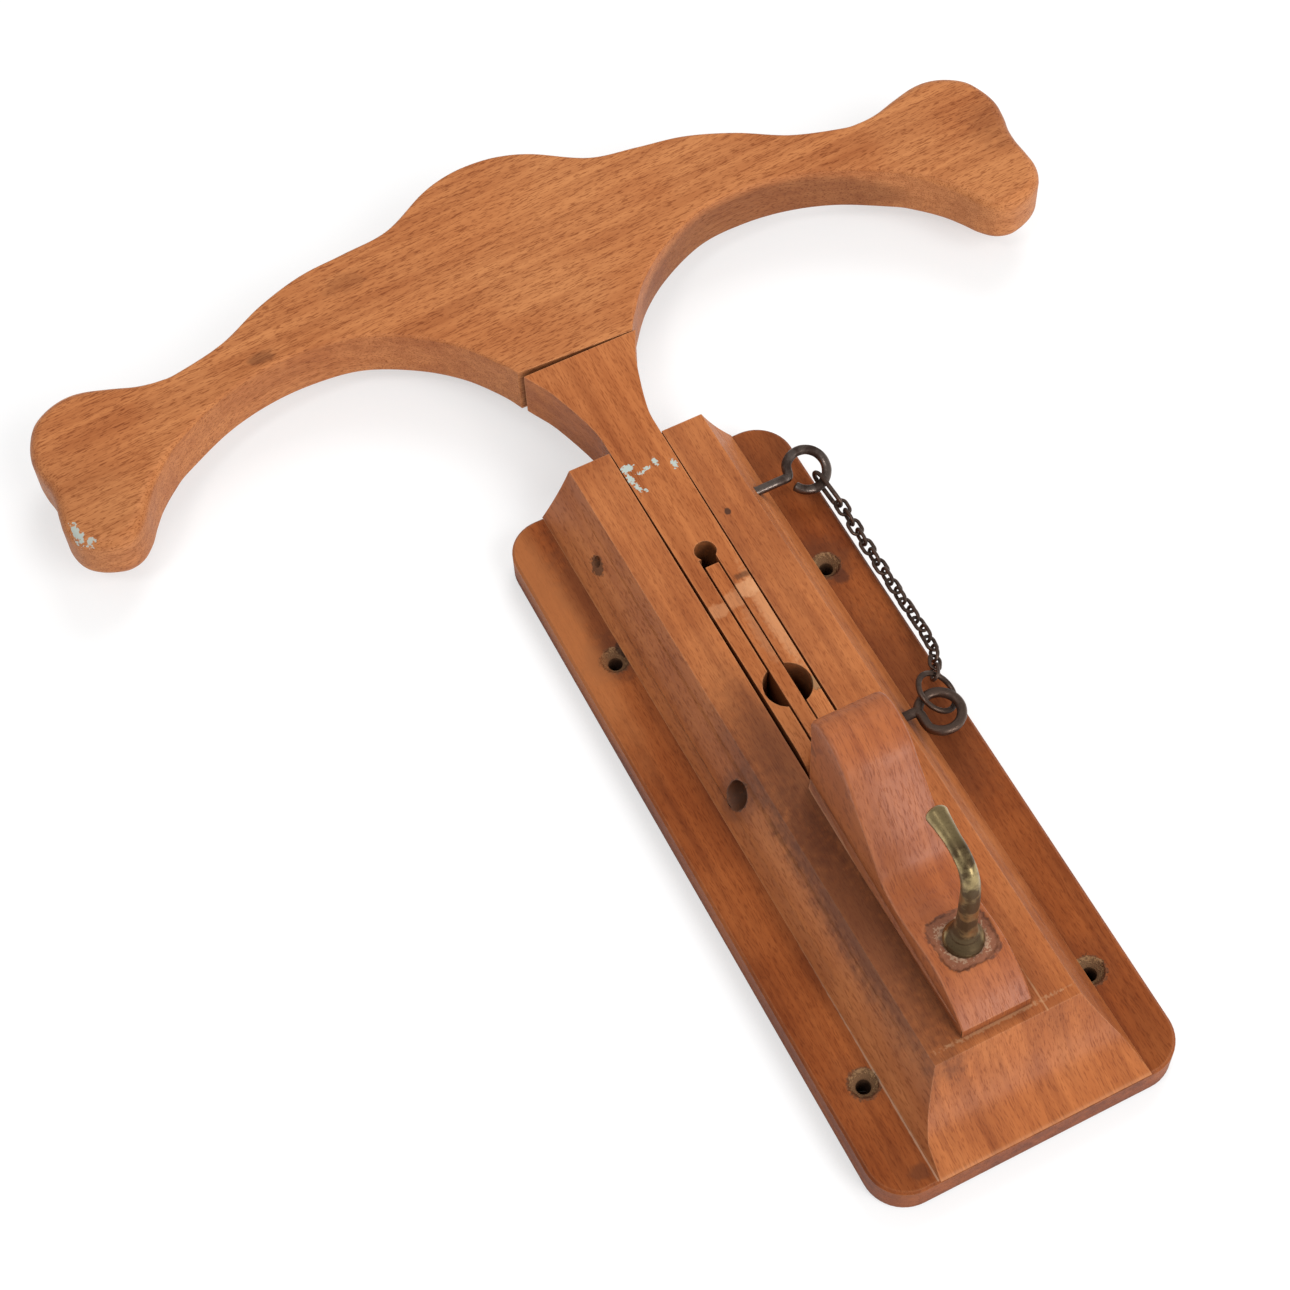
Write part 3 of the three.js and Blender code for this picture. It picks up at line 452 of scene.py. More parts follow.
def round_mark_group() -> bpy.types.NodeTree:
    """A mark round a point: 1 inside, 0 outside, with a ragged, soft edge and a stretch on each axis.

    The distance is the root of x^2 + y^2 + z^2, and on a square mark the fourth root of
    x^4 + y^4 + z^4.

    Returns:
        The group.
    """
    sheet, given, out = new_group(
        "round_mark",
        {"Vector": (0.0, 0.0, 0.0), "Centre": (0.0, 0.0, 0.0), "Stretch": (1.0, 1.0, 1.0),
         "Radius": 0.005, "Soft": 0.001, "Ragged": 0.001, "Grain": 300.0, "Square": 0.0},
        {"Mask": "NodeSocketFloat"})
    away = sheet.add("VectorMath", {0: given["Vector"], 1: given["Centre"]}, operation="SUBTRACT").outputs[0]
    away = sheet.add("VectorMath", {0: away, 1: given["Stretch"]}, operation="MULTIPLY").outputs[0]
    distance = sheet.add("VectorMath", {0: away}, operation="LENGTH").outputs["Value"]
    squares = sheet.add("VectorMath", {0: away, 1: away}, operation="MULTIPLY").outputs[0]
    boxy = sheet.add("VectorMath", {0: squares}, operation="LENGTH").outputs["Value"]
    boxy = sheet.math("SUBTRACT", sheet.math("SQRT", boxy), distance)
    distance = sheet.math("ADD", distance, sheet.math("MULTIPLY", boxy, given["Square"]))
    ragged = sheet.noise(given["Vector"], given["Grain"], 3.0)
    ragged = sheet.math("MULTIPLY", sheet.math("SUBTRACT", ragged, 0.5), given["Ragged"])
    distance = sheet.math("ADD", distance, sheet.math("MULTIPLY", ragged, 4.0))
    rim = sheet.math("ADD", given["Radius"], given["Soft"])
    sheet.put_out({out["Mask"]: sheet.range(distance, given["Radius"], rim, 1.0, 0.0)})
    return sheet.tree


def wear_and_shade_group() -> bpy.types.NodeTree:
    """Rubbed edges and painted shade: a mask of the edges worn paler, and an ambient occlusion mask that
    paints shade into the corners.

    Returns:
        The group.
    """
    sheet, given, out = new_group(
        "wear_and_shade", {"Edge radius": 0.001, "Corner shade reach": 0.008},
        {"Edge": "NodeSocketFloat", "Corner shade": "NodeSocketFloat"})
    soft = sheet.add("Bevel", {"Radius": given["Edge radius"]}, samples=4).outputs[0]
    plain = sheet.add("NewGeometry").outputs["Normal"]
    turned = sheet.add("VectorMath", {0: soft, 1: plain}, operation="DOT_PRODUCT").outputs["Value"]
    edge = sheet.clamped(sheet.math("SUBTRACT", 1.0, turned), 5.0)
    # Painted shade: ambient occlusion marks the corners and creases that are to be darkened.
    open_air = sheet.add("AmbientOcclusion", {"Distance": given["Corner shade reach"]}, samples=6).outputs["AO"]
    sheet.put_out({out["Edge"]: edge, out["Corner shade"]: sheet.range(open_air, 0.35, 0.95, 1.0, 0.0)})
    return sheet.tree


def metal_skin_group() -> bpy.types.NodeTree:
    """The skin of old metal: slow patches, fine pits and the hammered lie of the surface.

    Returns:
        The group.
    """
    sheet, given, out = new_group(
        "metal_skin", {"Vector": (0.0, 0.0, 0.0), "Patch scale": 160.0, "Pit scale": 1800.0},
        {"Patches": "NodeSocketFloat", "Pits": "NodeSocketFloat", "Height": "NodeSocketFloat"})
    slow = sheet.noise(given["Vector"], given["Patch scale"], 4.0)
    patches = sheet.range(slow, 0.38, 0.64)
    fine = sheet.noise(given["Vector"], given["Pit scale"], 3.0)
    pits = sheet.range(fine, 0.52, 0.70)
    deep = sheet.math("MULTIPLY", pits, 0.00004)
    height = sheet.math("SUBTRACT", sheet.math("MULTIPLY", slow, 0.00025), deep)
    sheet.put_out({out["Patches"]: patches, out["Pits"]: pits, out["Height"]: height})
    return sheet.tree


class Effects:
    """The shader groups that the finishes share."""

    def __init__(self) -> None:
        """Builds each group once."""
        self.grain = beech_grain_group()
        self.mark = round_mark_group()
        self.wear_and_shade = wear_and_shade_group()
        self.metal = metal_skin_group()


# Finishes


class Grain(Enum):
    """Which way a board's grain runs, as the turn that brings it onto Z."""

    UP = (0.0, 0.0, 0.0)
    LEANING = (0.0, math.radians(93), 0.0)


@dataclass(frozen=True)
class Mark:
    """A stain, chip, worn patch or speck on the wood.

    Attributes:
        place: right, depth and height in mm, as in spot().
        radius: its radius in mm.
        tint: its colour.
        strength: how much of the wood's colour it hides, 0 to 1.
        soft: how wide its edge is, in mm.
        ragged: how far its edge wanders, in mm.
        stretch: the scale of each axis, where 0.5 makes it twice as long.
        sunk: how far it lies below the surface, in mm.
        grain: waves per metre of the ragged edge.
        square: 1 for a mark with corners, 0 for a round one.
    """

    place: Triple
    radius: float
    tint: Colour
    strength: float = 0.6
    soft: float = 2.0
    ragged: float = 1.0
    stretch: Triple = (1.0, 1.0, 1.0)
    sunk: float = 0.0
    grain: float = 300.0
    square: float = 0.0


# Dark stain colour; it also paints shade into the corners, under the right arch and beside the corbel.
STAIN_AND_SHADE: Colour = (0.085, 0.026, 0.012)
RAW_WOOD: Colour = (0.27, 0.155, 0.075)
HOLE_RIM: Colour = (0.11, 0.045, 0.022)
# Dark, rough bore wood, which also paints shade inside the wall holes.
BORE_WOOD_AND_SHADE: Colour = (0.10, 0.048, 0.025)
PALE_WEAR: Colour = (0.66, 0.34, 0.17)
OLD_PAINT: Colour = (0.43, 0.51, 0.47)
# Near black for small specks and the dark joint line, and for painted shade deep in the wall holes.
SPECK_AND_SHADE_BLACK: Colour = (0.035, 0.016, 0.010)


@dataclass(frozen=True)
class BeechFinish:
    """Stained and varnished beech.

    Attributes:
        name: the material's name.
        slot: the record's material slot; not used.
        pale: its lightest tone.
        mid: its usual tone.
        deep: its darkest tone.
        grain: which way the grain runs.
        flecks: how strong the short dark flecks are.
        figure: how strong the slow figure is.
        roughness: the varnish's roughness.
        sheen: how much of the room the varnish mirrors.
        relief: how strongly the grain is felt through the varnish.
        lie: the scale of each axis of the grain, where 0.2 draws it out five times as far.
        worn_edge: how much paler the rubbed edges are.
        corner_shade: how much shade is painted into the corners.
    """

    name: str
    slot: str
    pale: Colour
    mid: Colour
    deep: Colour
    grain: Grain = Grain.UP
    flecks: float = 1.0
    figure: float = 0.6
    roughness: float = 0.42
    sheen: float = 0.14
    relief: float = 1.0
    lie: Triple = (1.0, 1.0, 1.0)
    worn_edge: float = 0.25
    corner_shade: float = 0.6

    def material(self, effects: Effects, marks: tuple[Mark, ...] = ()) -> bpy.types.Material:
        """Builds the material.

        Args:
            effects: the shared shader groups.
            marks: the marks on this piece.

        Returns:
            The material.
        """
        material = bpy.data.materials.new(self.name)
        material.use_nodes = True
        sheet = NodeSheet(material.node_tree)
        vector = sheet.add("TexCoord").outputs["Object"]
        turned = sheet.stretched(vector, self.lie, self.grain.value)
        grain = sheet.add("Group", node_tree=effects.grain)
        sheet.tree.links.new(turned, grain.inputs["Vector"])
        for key, colour in (("Pale", self.pale), ("Mid", self.mid), ("Deep", self.deep)):
            grain.inputs[key].default_value = (*colour, 1.0)
        grain.inputs["Flecks"].default_value = self.flecks
        grain.inputs["Figure"].default_value = self.figure
        wear_and_shade = sheet.add("Group", node_tree=effects.wear_and_shade)
        colour = grain.outputs["Colour"]
        height = sheet.math("MULTIPLY", grain.outputs["Height"], self.relief)
        rubbed = sheet.math("MULTIPLY", wear_and_shade.outputs["Edge"], self.worn_edge)
        colour = sheet.blend(rubbed, colour, (*PALE_WEAR, 1.0))
        # Painted shade: the ambient occlusion mask darkens the corners and the cove's foot.
        corner_shade_share = sheet.math("MULTIPLY", wear_and_shade.outputs["Corner shade"], self.corner_shade)
        colour = sheet.blend(corner_shade_share, colour, (*STAIN_AND_SHADE, 1.0))
        rough = sheet.range(grain.outputs["Gloss"], 0.0, 1.0, self.roughness - 0.06, self.roughness + 0.10)
        for mark in marks:
            centre = spot(*mark.place)
            group = sheet.add("Group", {"Vector": vector}, node_tree=effects.mark)
            values = {"Centre": centre, "Stretch": mark.stretch, "Radius": mark.radius * MM,
                      "Soft": mark.soft * MM, "Ragged": mark.ragged * MM, "Grain": mark.grain,
                      "Square": mark.square}
            for key, value in values.items():
                group.inputs[key].default_value = value
            mask = sheet.math("MULTIPLY", group.outputs["Mask"], mark.strength)
            colour = sheet.blend(mask, colour, (*mark.tint, 1.0))
            if mark.sunk:
                height = sheet.math(
                    "SUBTRACT", height, sheet.math("MULTIPLY", group.outputs["Mask"], mark.sunk * MM))
                rough = sheet.math("ADD", rough, sheet.math("MULTIPLY", mask, 0.25))
        bump = sheet.add("Bump", {"Strength": 0.8, "Distance": 1.0, "Height": height})
        shader = sheet.add("BsdfPrincipled", {
            "Base Color": colour, "Roughness": rough, "Normal": bump.outputs[0],
            "IOR": 1.5, "Specular IOR Level": self.sheen})
        sheet.add("OutputMaterial", {"Surface": shader.outputs[0]})
        return material


@dataclass(frozen=True)
class MetalFinish:
    """Old metal with a patina.

    Attributes:
        name: the material's name.
        slot: the record's material slot.
        bright: the colour where it is rubbed.
        patina: the colour where it is dull.
        roughness: its roughness where it is rubbed.
        dull: how much rougher the patina is.
        bare: how metallic the patina still is.
        patch_scale: waves per metre of the patches.
        bump: how strongly the pits show.
        rubbed_height: height in mm above which it is rubbed bright, if it is.
    """

    name: str
    slot: str
    bright: Colour
    patina: Colour
    roughness: float
    dull: float
    bare: float
    patch_scale: float = 160.0
    bump: float = 0.6
    rubbed_height: float | None = None

    def material(self, effects: Effects) -> bpy.types.Material:
        """Builds the material.

        Args:
            effects: the shared shader groups.

        Returns:
            The material.
        """
        material = bpy.data.materials.new(self.name)
        material.use_nodes = True
        sheet = NodeSheet(material.node_tree)
        vector = sheet.add("TexCoord").outputs["Object"]
        skin = sheet.add("Group", {"Vector": vector}, node_tree=effects.metal)
        skin.inputs["Patch scale"].default_value = self.patch_scale
        dull = skin.outputs["Patches"]
        if self.rubbed_height is not None:
            height = sheet.add("SeparateXYZ", {0: vector}).outputs[2]
            level = (self.rubbed_height - BOARD_MIDDLE) * MM
            rubbed = sheet.range(height, level - 0.004, level + 0.009, 1.0, 0.5)
            dull = sheet.math("MULTIPLY", sheet.math("ADD", dull, 0.35), rubbed)
        dull = sheet.clamped(dull, 1.0)
        colour = sheet.blend(dull, (*self.bright, 1.0), (*self.patina, 1.0))
        pits = sheet.clamped(skin.outputs["Pits"], 0.35)
        colour = sheet.blend(pits, colour, [0.3, 0.24, 0.2, 1.0], "MULTIPLY")
        rough = sheet.range(dull, 0.0, 1.0, self.roughness, self.roughness + self.dull)
        metallic = sheet.range(dull, 0.0, 1.0, 1.0, self.bare)
        bump = sheet.add("Bump", {"Strength": self.bump, "Distance": 1.0, "Height": skin.outputs["Height"]})
        shader = sheet.add("BsdfPrincipled", {
            "Base Color": colour, "Roughness": rough, "Metallic": metallic, "Normal": bump.outputs[0]})
        sheet.add("OutputMaterial", {"Surface": shader.outputs[0]})
        return material


# Sub-assemblies


@dataclass
class Carcass:
    """The back board and the coved housing block on it.

    Attributes:
        effects: the shared shader groups.
        board_edge: the softening of the board's edges, in mm.
        housing_edge: the softening of the housing's edges, in mm.
        hole_spread: how far the wall holes are from the middle, in mm.
        hole_heights: the heights of the lower and the upper wall holes, in mm.
        end_cove: the length of the cove at the lower end, in mm.
        end_hollow: the power of that cove's curve, where 1 is a plain slope.
        end_drift: how far the lower end sits to the right, in mm.
        cove_margin: how far above the cove's length a point still belongs to it, in mm.
    """

    effects: Effects
    board_edge: float = 1.1
    housing_edge: float = 0.6
    hole_spread: float = 45.2
    hole_heights: tuple[float, float] = (42.5, 233.0)
    end_cove: float = 29.5
    end_hollow: float = 0.42
    end_drift: float = 2.2
    cove_margin: float = 0.2

    def wall_hole_marks(self) -> tuple[Mark, ...]:
        """The raw countersinks of the wall holes, the stains round them, and painted shade inside their
        bores.

        Returns:
            The marks.
        """
        marks = []
        for height, stain in zip(self.hole_heights, (0.15, 0.55)):
            for right in (-self.hole_spread, self.hole_spread):
                rim, bore = (right, BOARD_FRONT, height), (right, BOARD_FRONT - 2, height)
                chipped, end = (right + 0.3, BOARD_FRONT, height + 0.6), (right, 3, height)
                marks += [
                    Mark((right, BOARD_FRONT, height + 2), 7.5, STAIN_AND_SHADE, stain, 7, 2.4),
                    Mark(rim, 5.7, HOLE_RIM, 0.8, 0.8, 0.8, (1, 0.3, 1), 0, 700),
                    Mark(chipped, 4.6, RAW_WOOD, 0.85, 0.9, 0.7, (1, 0.3, 1), 0.4, 900),
                    # Painted shade with the bore's own rough wood: the bore is darker towards its inner end,
                    # which is near black.
                    Mark(bore, 3.8, BORE_WOOD_AND_SHADE, 0.65, 1.6, 2.6, (1, 0.4, 1), 0.3, 1400),
                    Mark(end, 2.9, SPECK_AND_SHADE_BLACK, 0.9, 0.8, 0.3, (1, 0.25, 1)),
                ]
        return tuple(marks)

    def hollow_end(self, right: np.ndarray, depth: np.ndarray, height: np.ndarray) -> tuple:
        """Deepens the cove at the lower end and moves that end a little to the right.

        On that cove the height is its length times s to the power of end_hollow, where s rises
        from 0 at the board's front to 1 at the housing's front.

        Args:
            right: the points' places across, in mm.
            depth: their depths, in mm.
            height: their heights, in mm.

        Returns:
            The new places across, depths and heights.
        """
        share = np.clip((depth - BOARD_FRONT) / (HOUSING_FRONT - BOARD_FRONT), 0, 1)
        on_cove = height < self.end_cove + self.cove_margin
        height = np.where(on_cove, self.end_cove * share**self.end_hollow, height)
        return right + np.where(on_cove, self.end_drift, 0), depth, height

    def board_marks(self) -> tuple[Mark, ...]:
        """The stains, scratches and specks on the board, a painted patch of light on its left strip, and the
        marks of its wall holes.

        Returns:
            The marks.
        """
        front = BOARD_FRONT
        return self.wall_hole_marks() + (
            Mark((-44, front, 262), 4, STAIN_AND_SHADE, 0.5, 6, 3, (1, 1, 0.25)),
            # Painted light: a paler patch on the board's left strip near the top, where the light falls.
            Mark((-56, front, 262), 3, (0.42, 0.15, 0.05), 0.6, 9, 1, (1, 1, 0.12), 0, 150),
            Mark((-39.9, front, 30), 0.14, (0.40, 0.27, 0.18), 0.5, 0.4, 0.12, (1, 1, 0.006)),
            Mark((-44, front, 6), 2, STAIN_AND_SHADE, 0.6, 2.5, 1.4),
            Mark((-41, front, 236), 1.6, SPECK_AND_SHADE_BLACK, 0.8, 0.8, 0.5, (1, 1, 0.6)),
            Mark((47.5, front, 226.5), 2.2, STAIN_AND_SHADE, 0.8, 1.2, 1.0, (1, 1, 0.7)),
            Mark((44, front, 165), 11, STAIN_AND_SHADE, 0.35, 14, 4, (1, 1, 0.4)),
            Mark((50, front, 292), 8, STAIN_AND_SHADE, 0.3, 10, 3),
        )

    def housing_marks(self) -> tuple[Mark, ...]:
        """The small bores' dark rims, the stains, a stain with a painted shadow of the corbel on the
        housing's left, and the scribed lines at the foot of the coves.

        Returns:
            The marks.
        """
        front = HOUSING_FRONT
        return (
            Mark((-36.5, 25, 268), 2.0, (0.10, 0.042, 0.02), 0.85, 0.7, 0.6, (0.6, 0.6, 0.5), 0.3, 700),
            Mark((-34, 25.4, 155.7), 5.4, (0.075, 0.036, 0.02), 0.85, 0.6, 0.5, (0.35, 1, 1), 0, 900),
            Mark((-34, 25.4, 155.7), 7, STAIN_AND_SHADE, 0.4, 5, 1.4, (0.35, 1, 1)),
            Mark((16.5, front, 259.2), 1.0, SPECK_AND_SHADE_BLACK, 0.85, 0.5, 0.35, (1, 1, 0.8)),
            # Stain and painted shadow: darker streaks just left of the corbel, along its length, where its
            # shadow falls.
            Mark((-17, front, 150), 8, STAIN_AND_SHADE, 0.5, 16, 3, (1, 1, 0.4)),
            Mark((-24, front, 70), 5, STAIN_AND_SHADE, 0.45, 12, 3, (1, 1, 0.2)),
            Mark((-22, 34, 96), 5, STAIN_AND_SHADE, 0.5, 10, 3, (1, 1, 0.18)),
            Mark((17.5, front, 35), 0.12, (0.5, 0.28, 0.14), 0.45, 0.35, 0.15, (1, 1, 0.03)),
            Mark((0.5, front, 33.6), 0.4, (0.48, 0.27, 0.14), 0.45, 0.7, 0.6, (0.035, 1, 1), 0, 900),
        )

    def build(self) -> None:
        """Builds and dresses both pieces."""
        board = softened_copy("back_board", "back_board_softened", self.board_edge)
        finish = BeechFinish(
            "board_beech", "stained_beech",
            pale=(0.37, 0.113, 0.031), mid=(0.255, 0.065, 0.015), deep=(0.130, 0.028, 0.007),
            figure=0.85, roughness=0.52)
        settle(board, "back_board", "base", finish.material(self.effects, self.board_marks()))
        housing = softened_copy(
            "housing_block", "housing_block_softened", self.housing_edge, self.hollow_end)
        finish = BeechFinish(
            "housing_beech", "stained_beech",
            pale=(0.56, 0.205, 0.066), mid=(0.425, 0.132, 0.036), deep=(0.225, 0.057, 0.015),
            figure=0.75, roughness=0.50, sheen=0.3, lie=(1.0, 0.2, 1.0))
        material = finish.material(self.effects, self.housing_marks())
        settle(housing, "housing_block", "base", material)


@dataclass
class FoldingArm:
    """The neck, the coat yoke and the swing peg between the neck's cheeks.

    Attributes:
        effects: the shared shader groups.
        half_span: half the yoke's span, in mm.
        rise: the yoke's rise above its lobes' lowest points, in mm.
        joint: the height of the glued joint, in mm.
        lobe_drop: how far below the joint the yoke's lowest point would lie, in mm.
        half_neck: half the neck's width at the joint, in mm.
        thickness: the yoke's thickness, in mm.
        lean: how far the loosened yoke leans, in degrees.
        shift: how far it has slipped to the left, in mm.
        neck_half_width: half the neck's width in the housing, in mm.
        neck_foot: the height of the neck's foot, in mm.
        neck_flare: the height at which the neck starts to flare, in mm.
        left_gap: how far the neck's left side has worn in at its foot, in mm.
        right_gap: how far its right side has worn in, in mm.
        peg_wear: how far the peg's left side has worn in, in mm.
        neck_edge: the softening of the neck's edges, in mm.
        peg_edge: the softening of the peg's edges, in mm.
    """

    effects: Effects
    half_span: float = 211.0
    rise: float = 116.0
    joint: float = 353.0
    lobe_drop: float = 8.0
    half_neck: float = 24.5
    thickness: float = 23.4
    lean: float = 2.6
    shift: float = 1.2
    neck_half_width: float = 11.0
    neck_foot: float = 147.0
    neck_flare: float = 308.0
    left_gap: float = 1.5
    right_gap: float = 0.7
    peg_wear: float = 0.45
    neck_edge: float = 0.5
    peg_edge: float = 0.4

    UPPER_SHARES = np.array([
        (0.057, 0.989), (0.118, 0.948), (0.213, 0.845), (0.308, 0.815), (0.403, 0.789), (0.498, 0.724),
        (0.592, 0.629), (0.687, 0.578), (0.725, 0.572), (0.768, 0.586), (0.815, 0.621), (0.863, 0.652),
        (0.9, 0.657), (0.938, 0.636), (0.972, 0.591), (0.991, 0.526), (1, 0.457)])
    LOWER_SHARES = np.array([
        (0.997, 0.388), (0.989, 0.328), (0.987, 0.267), (0.991, 0.198), (0.992, 0.134), (0.979, 0.074),
        (0.954, 0.036), (0.922, 0.012), (0.89, 0.003), (0.858, 0.021), (0.831, 0.066), (0.81, 0.122),
        (0.783, 0.185), (0.743, 0.254), (0.7, 0.31), (0.592, 0.405), (0.485, 0.457), (0.378, 0.472),
        (0.271, 0.451), (0.164, 0.366), (0.083, 0.26), (0.024, 0.135)])

    def outline(self) -> np.ndarray:
        """The yoke's outline as right and height in mm, anticlockwise, with the joint as its last side.

        Returns:
            Points of shape (count, 2).
        """
        lowest = self.joint - self.lobe_drop
        upper = self.UPPER_SHARES * (self.half_span, self.rise) + (0, lowest)
        lower = self.LOWER_SHARES * (self.half_span - self.half_neck, self.rise) + (self.half_neck, lowest)
        right = np.vstack([upper, lower, [(self.half_neck, self.joint)]])
        crown = np.array([(0.0, lowest + self.rise)])
        left = right[::-1] * (-1, 1)
        over = smooth_run(np.vstack([left, crown, right]), 9)[::-1]
        share = np.linspace(0, 1, 14)[1:-1, None]
        glued_side = over[-1] * (1 - share) + over[0] * share
        return np.vstack([over, glued_side])

    def edge_radius(self, outline: np.ndarray) -> np.ndarray:
        """The edge radius in mm: nearly sharp along the arches, round at the lobes, square at the joint.

        Args:
            outline: the yoke's outline, of shape (count, 2).

        Returns:
            The radius at each point.
        """
        across, height = np.abs(outline[:, 0]), outline[:, 1]
        sharp, arch, lobe = 0.3, 1.4, 5.0
        on_lobe = smooth_share(across / self.half_span, 0.7, 0.9)
        away = np.maximum(across - self.half_neck, height - self.joint)
        return sharp + (arch + (lobe - arch) * on_lobe - sharp) * smooth_share(away, 0, 10)

    def yoke(self) -> bpy.types.Object:
        """The yoke: its outline carried through the timber with rounded rims, then leaned over.

        Returns:
            The yoke, at the origin.
        """
        outline = self.outline()
        slab = rounded_slab(outline, self.thickness / 2, self.edge_radius(outline), 3)
        turn = math.radians(self.lean)
        right, up = slab[..., 0] - self.half_neck, slab[..., 1] - self.joint
        x = right * math.cos(turn) + up * math.sin(turn) + self.half_neck - self.shift
        z = -right * math.sin(turn) + up * math.cos(turn) + self.joint - BOARD_MIDDLE
        y = -(HOUSING_FRONT - self.thickness / 2 + slab[..., 2])
        return shell("yoke_shaped", np.stack([x, y, z], axis=-1) * MM, False, True)

    def taper_neck(self, right: np.ndarray, depth: np.ndarray, height: np.ndarray) -> tuple:
        """Thins the neck's sides a little, so that the gaps beside it widen downwards.

        Both sides move in by the right gap, which fades over the sixteenth of the neck below its
        flare, and the left side by more towards its foot.

        Args:
            right: the points' places across, in mm.
            depth: their depths, in mm.
            height: their heights, in mm.

        Returns:
            The new places across, depths and heights.
        """
        share = np.clip((self.neck_flare - height) / (self.neck_flare - self.neck_foot), 0, 1)
        on_side = (np.abs(right) > self.neck_half_width - 0.4) & (height < self.neck_flare)
        gap = self.right_gap * np.minimum(1, 16 * share)
        gap = gap + np.where(right < 0, (self.left_gap - self.right_gap) * share, 0)
        return right - np.sign(right) * gap * on_side, depth, height

    def thin_peg(self, right: np.ndarray, depth: np.ndarray, height: np.ndarray) -> tuple:
        """Moves the peg's left side in, so that a dark gap shows beside it."""
        return np.where(right < -2 * self.peg_wear, right + self.peg_wear, right), depth, height

    def build_yoke(self) -> None:
        """Builds and dresses the yoke."""
        front = HOUSING_FRONT
        finish = BeechFinish(
            "yoke_beech", "stained_beech",
            pale=(0.57, 0.240, 0.090), mid=(0.495, 0.184, 0.063), deep=(0.365, 0.116, 0.037),
            grain=Grain.LEANING, flecks=1.5, figure=0.7, roughness=0.45)
        marks = (
            Mark((-206, 36, 366), 1.5, OLD_PAINT, 0.9, 0.5, 1.6, (1, 0.5, 0.45), 0, 700),
            Mark((-203, 36, 361), 1.0, OLD_PAINT, 0.8, 0.5, 1.4, (0.6, 0.5, 1), 0, 900),
            Mark((-112, front, 410), 1.5, STAIN_AND_SHADE, 0.5, 2.5, 1.2, (0.5, 1, 1)),
            Mark((-68, front, 429), 2.5, STAIN_AND_SHADE, 0.2, 5, 2.5, (0.6, 1, 1)),
            Mark((206, 30, 378), 8, STAIN_AND_SHADE, 0.25, 14, 4),
            Mark((-8, 25, 352.8), 1.0, SPECK_AND_SHADE_BLACK, 0.7, 0.8, 0.5, (0.06, 0.12, 1)),
            # Painted shade: the underside of the right arch is darkened.
            Mark((98, 21, 393), 30, STAIN_AND_SHADE, 0.45, 15, 1, (0.5, 3.0, 1)),
            Mark((-200, 34, 374), 10, STAIN_AND_SHADE, 0.12, 26, 4),
        )
        settle(self.yoke(), "yoke", "arm", finish.material(self.effects, marks))

    def neck_marks(self) -> tuple[Mark, ...]:
        """The worn patches, painted shade inside the two round holes, and the specks of old paint.

        Returns:
            The marks.
        """
        front = HOUSING_FRONT
        worn = (
            Mark((-7.4, front, 221.5), 2.2, PALE_WEAR, 0.3, 1.8, 0.9, (0.7, 1, 1), 0.1, 600),
            Mark((7.0, front, 225.5), 2.6, PALE_WEAR, 0.5, 2.2, 0.9, (0.6, 1, 1), 0.15, 600),
            Mark((9.2, front, 210), 1.5, PALE_WEAR, 0.4, 3, 1.1, (1, 1, 0.14), 0.15, 600),
            Mark((8.0, front, 231.5), 0.5, SPECK_AND_SHADE_BLACK, 0.6, 1.4, 0.7, (0.35, 1, 1)),
        )
        holes = (
            # Painted shade: the insides of the grip hole and of the lock pin's hole are darkened.
            Mark((0.5, 26, 182), 9.1, (0.12, 0.055, 0.025), 0.55, 0.5, 0.3, (1, 0.1, 1)),
            Mark((9.8, 36, 178), 2.2, RAW_WOOD, 0.8, 0.8, 1.2, (1, 1, 0.8), 0.5, 600),
            Mark((0.8, 26, 247.4), 4.2, (0.10, 0.045, 0.02), 0.6, 0.4, 0.3, (1, 0.1, 1)),
        )
        specks = tuple(
            Mark((right, front, height), size, OLD_PAINT, 0.92, 0.35, 1.0, stretch, 0, 900)
            for right, height, size, stretch in (
                (-8.4, 294.5, 1.5, (0.7, 1, 1)), (-9.6, 289.5, 0.9, (1, 1, 0.4)),
                (-8.6, 284.8, 0.8, (1, 1, 0.5)), (-4.4, 290.2, 0.5, (0.4, 1, 1)),
                (-1.6, 291.2, 0.6, (0.5, 1, 1)), (2.6, 292.3, 0.7, (1, 1, 0.5)),
                (8.6, 288.0, 0.9, (1, 1, 0.5)), (-6.6, 282.5, 0.5, (1, 1, 1))))
        return worn + holes + specks

    def build_neck(self) -> None:
        """Builds and dresses the neck."""
        finish = BeechFinish(
            "neck_beech", "stained_beech",
            pale=(0.55, 0.205, 0.070), mid=(0.445, 0.145, 0.044), deep=(0.290, 0.082, 0.024),
            figure=0.75, roughness=0.44)
        neck = softened_copy("neck", "neck_softened", self.neck_edge, self.taper_neck)
        settle(neck, "neck", "arm", finish.material(self.effects, self.neck_marks()))

    def build_peg(self) -> None:
        """Builds and dresses the swing peg."""
        finish = BeechFinish(
            "peg_beech", "stained_beech",
            pale=(0.54, 0.198, 0.068), mid=(0.430, 0.136, 0.040), deep=(0.275, 0.076, 0.022),
            figure=0.7, roughness=0.44)
        worn = (
            Mark((1, 36.3, 223.5), 2.6, PALE_WEAR, 0.26, 2.2, 1.0, (0.6, 1, 1), 0.1, 600),
            Mark((2.2, 36.3, 206), 1.2, PALE_WEAR, 0.2, 2.5, 1.0, (1, 1, 0.2), 0, 600),
        )
        peg = softened_copy("swing_peg", "swing_peg_softened", self.peg_edge, self.thin_peg)
        settle(peg, "swing_peg", "peg", finish.material(self.effects, worn))

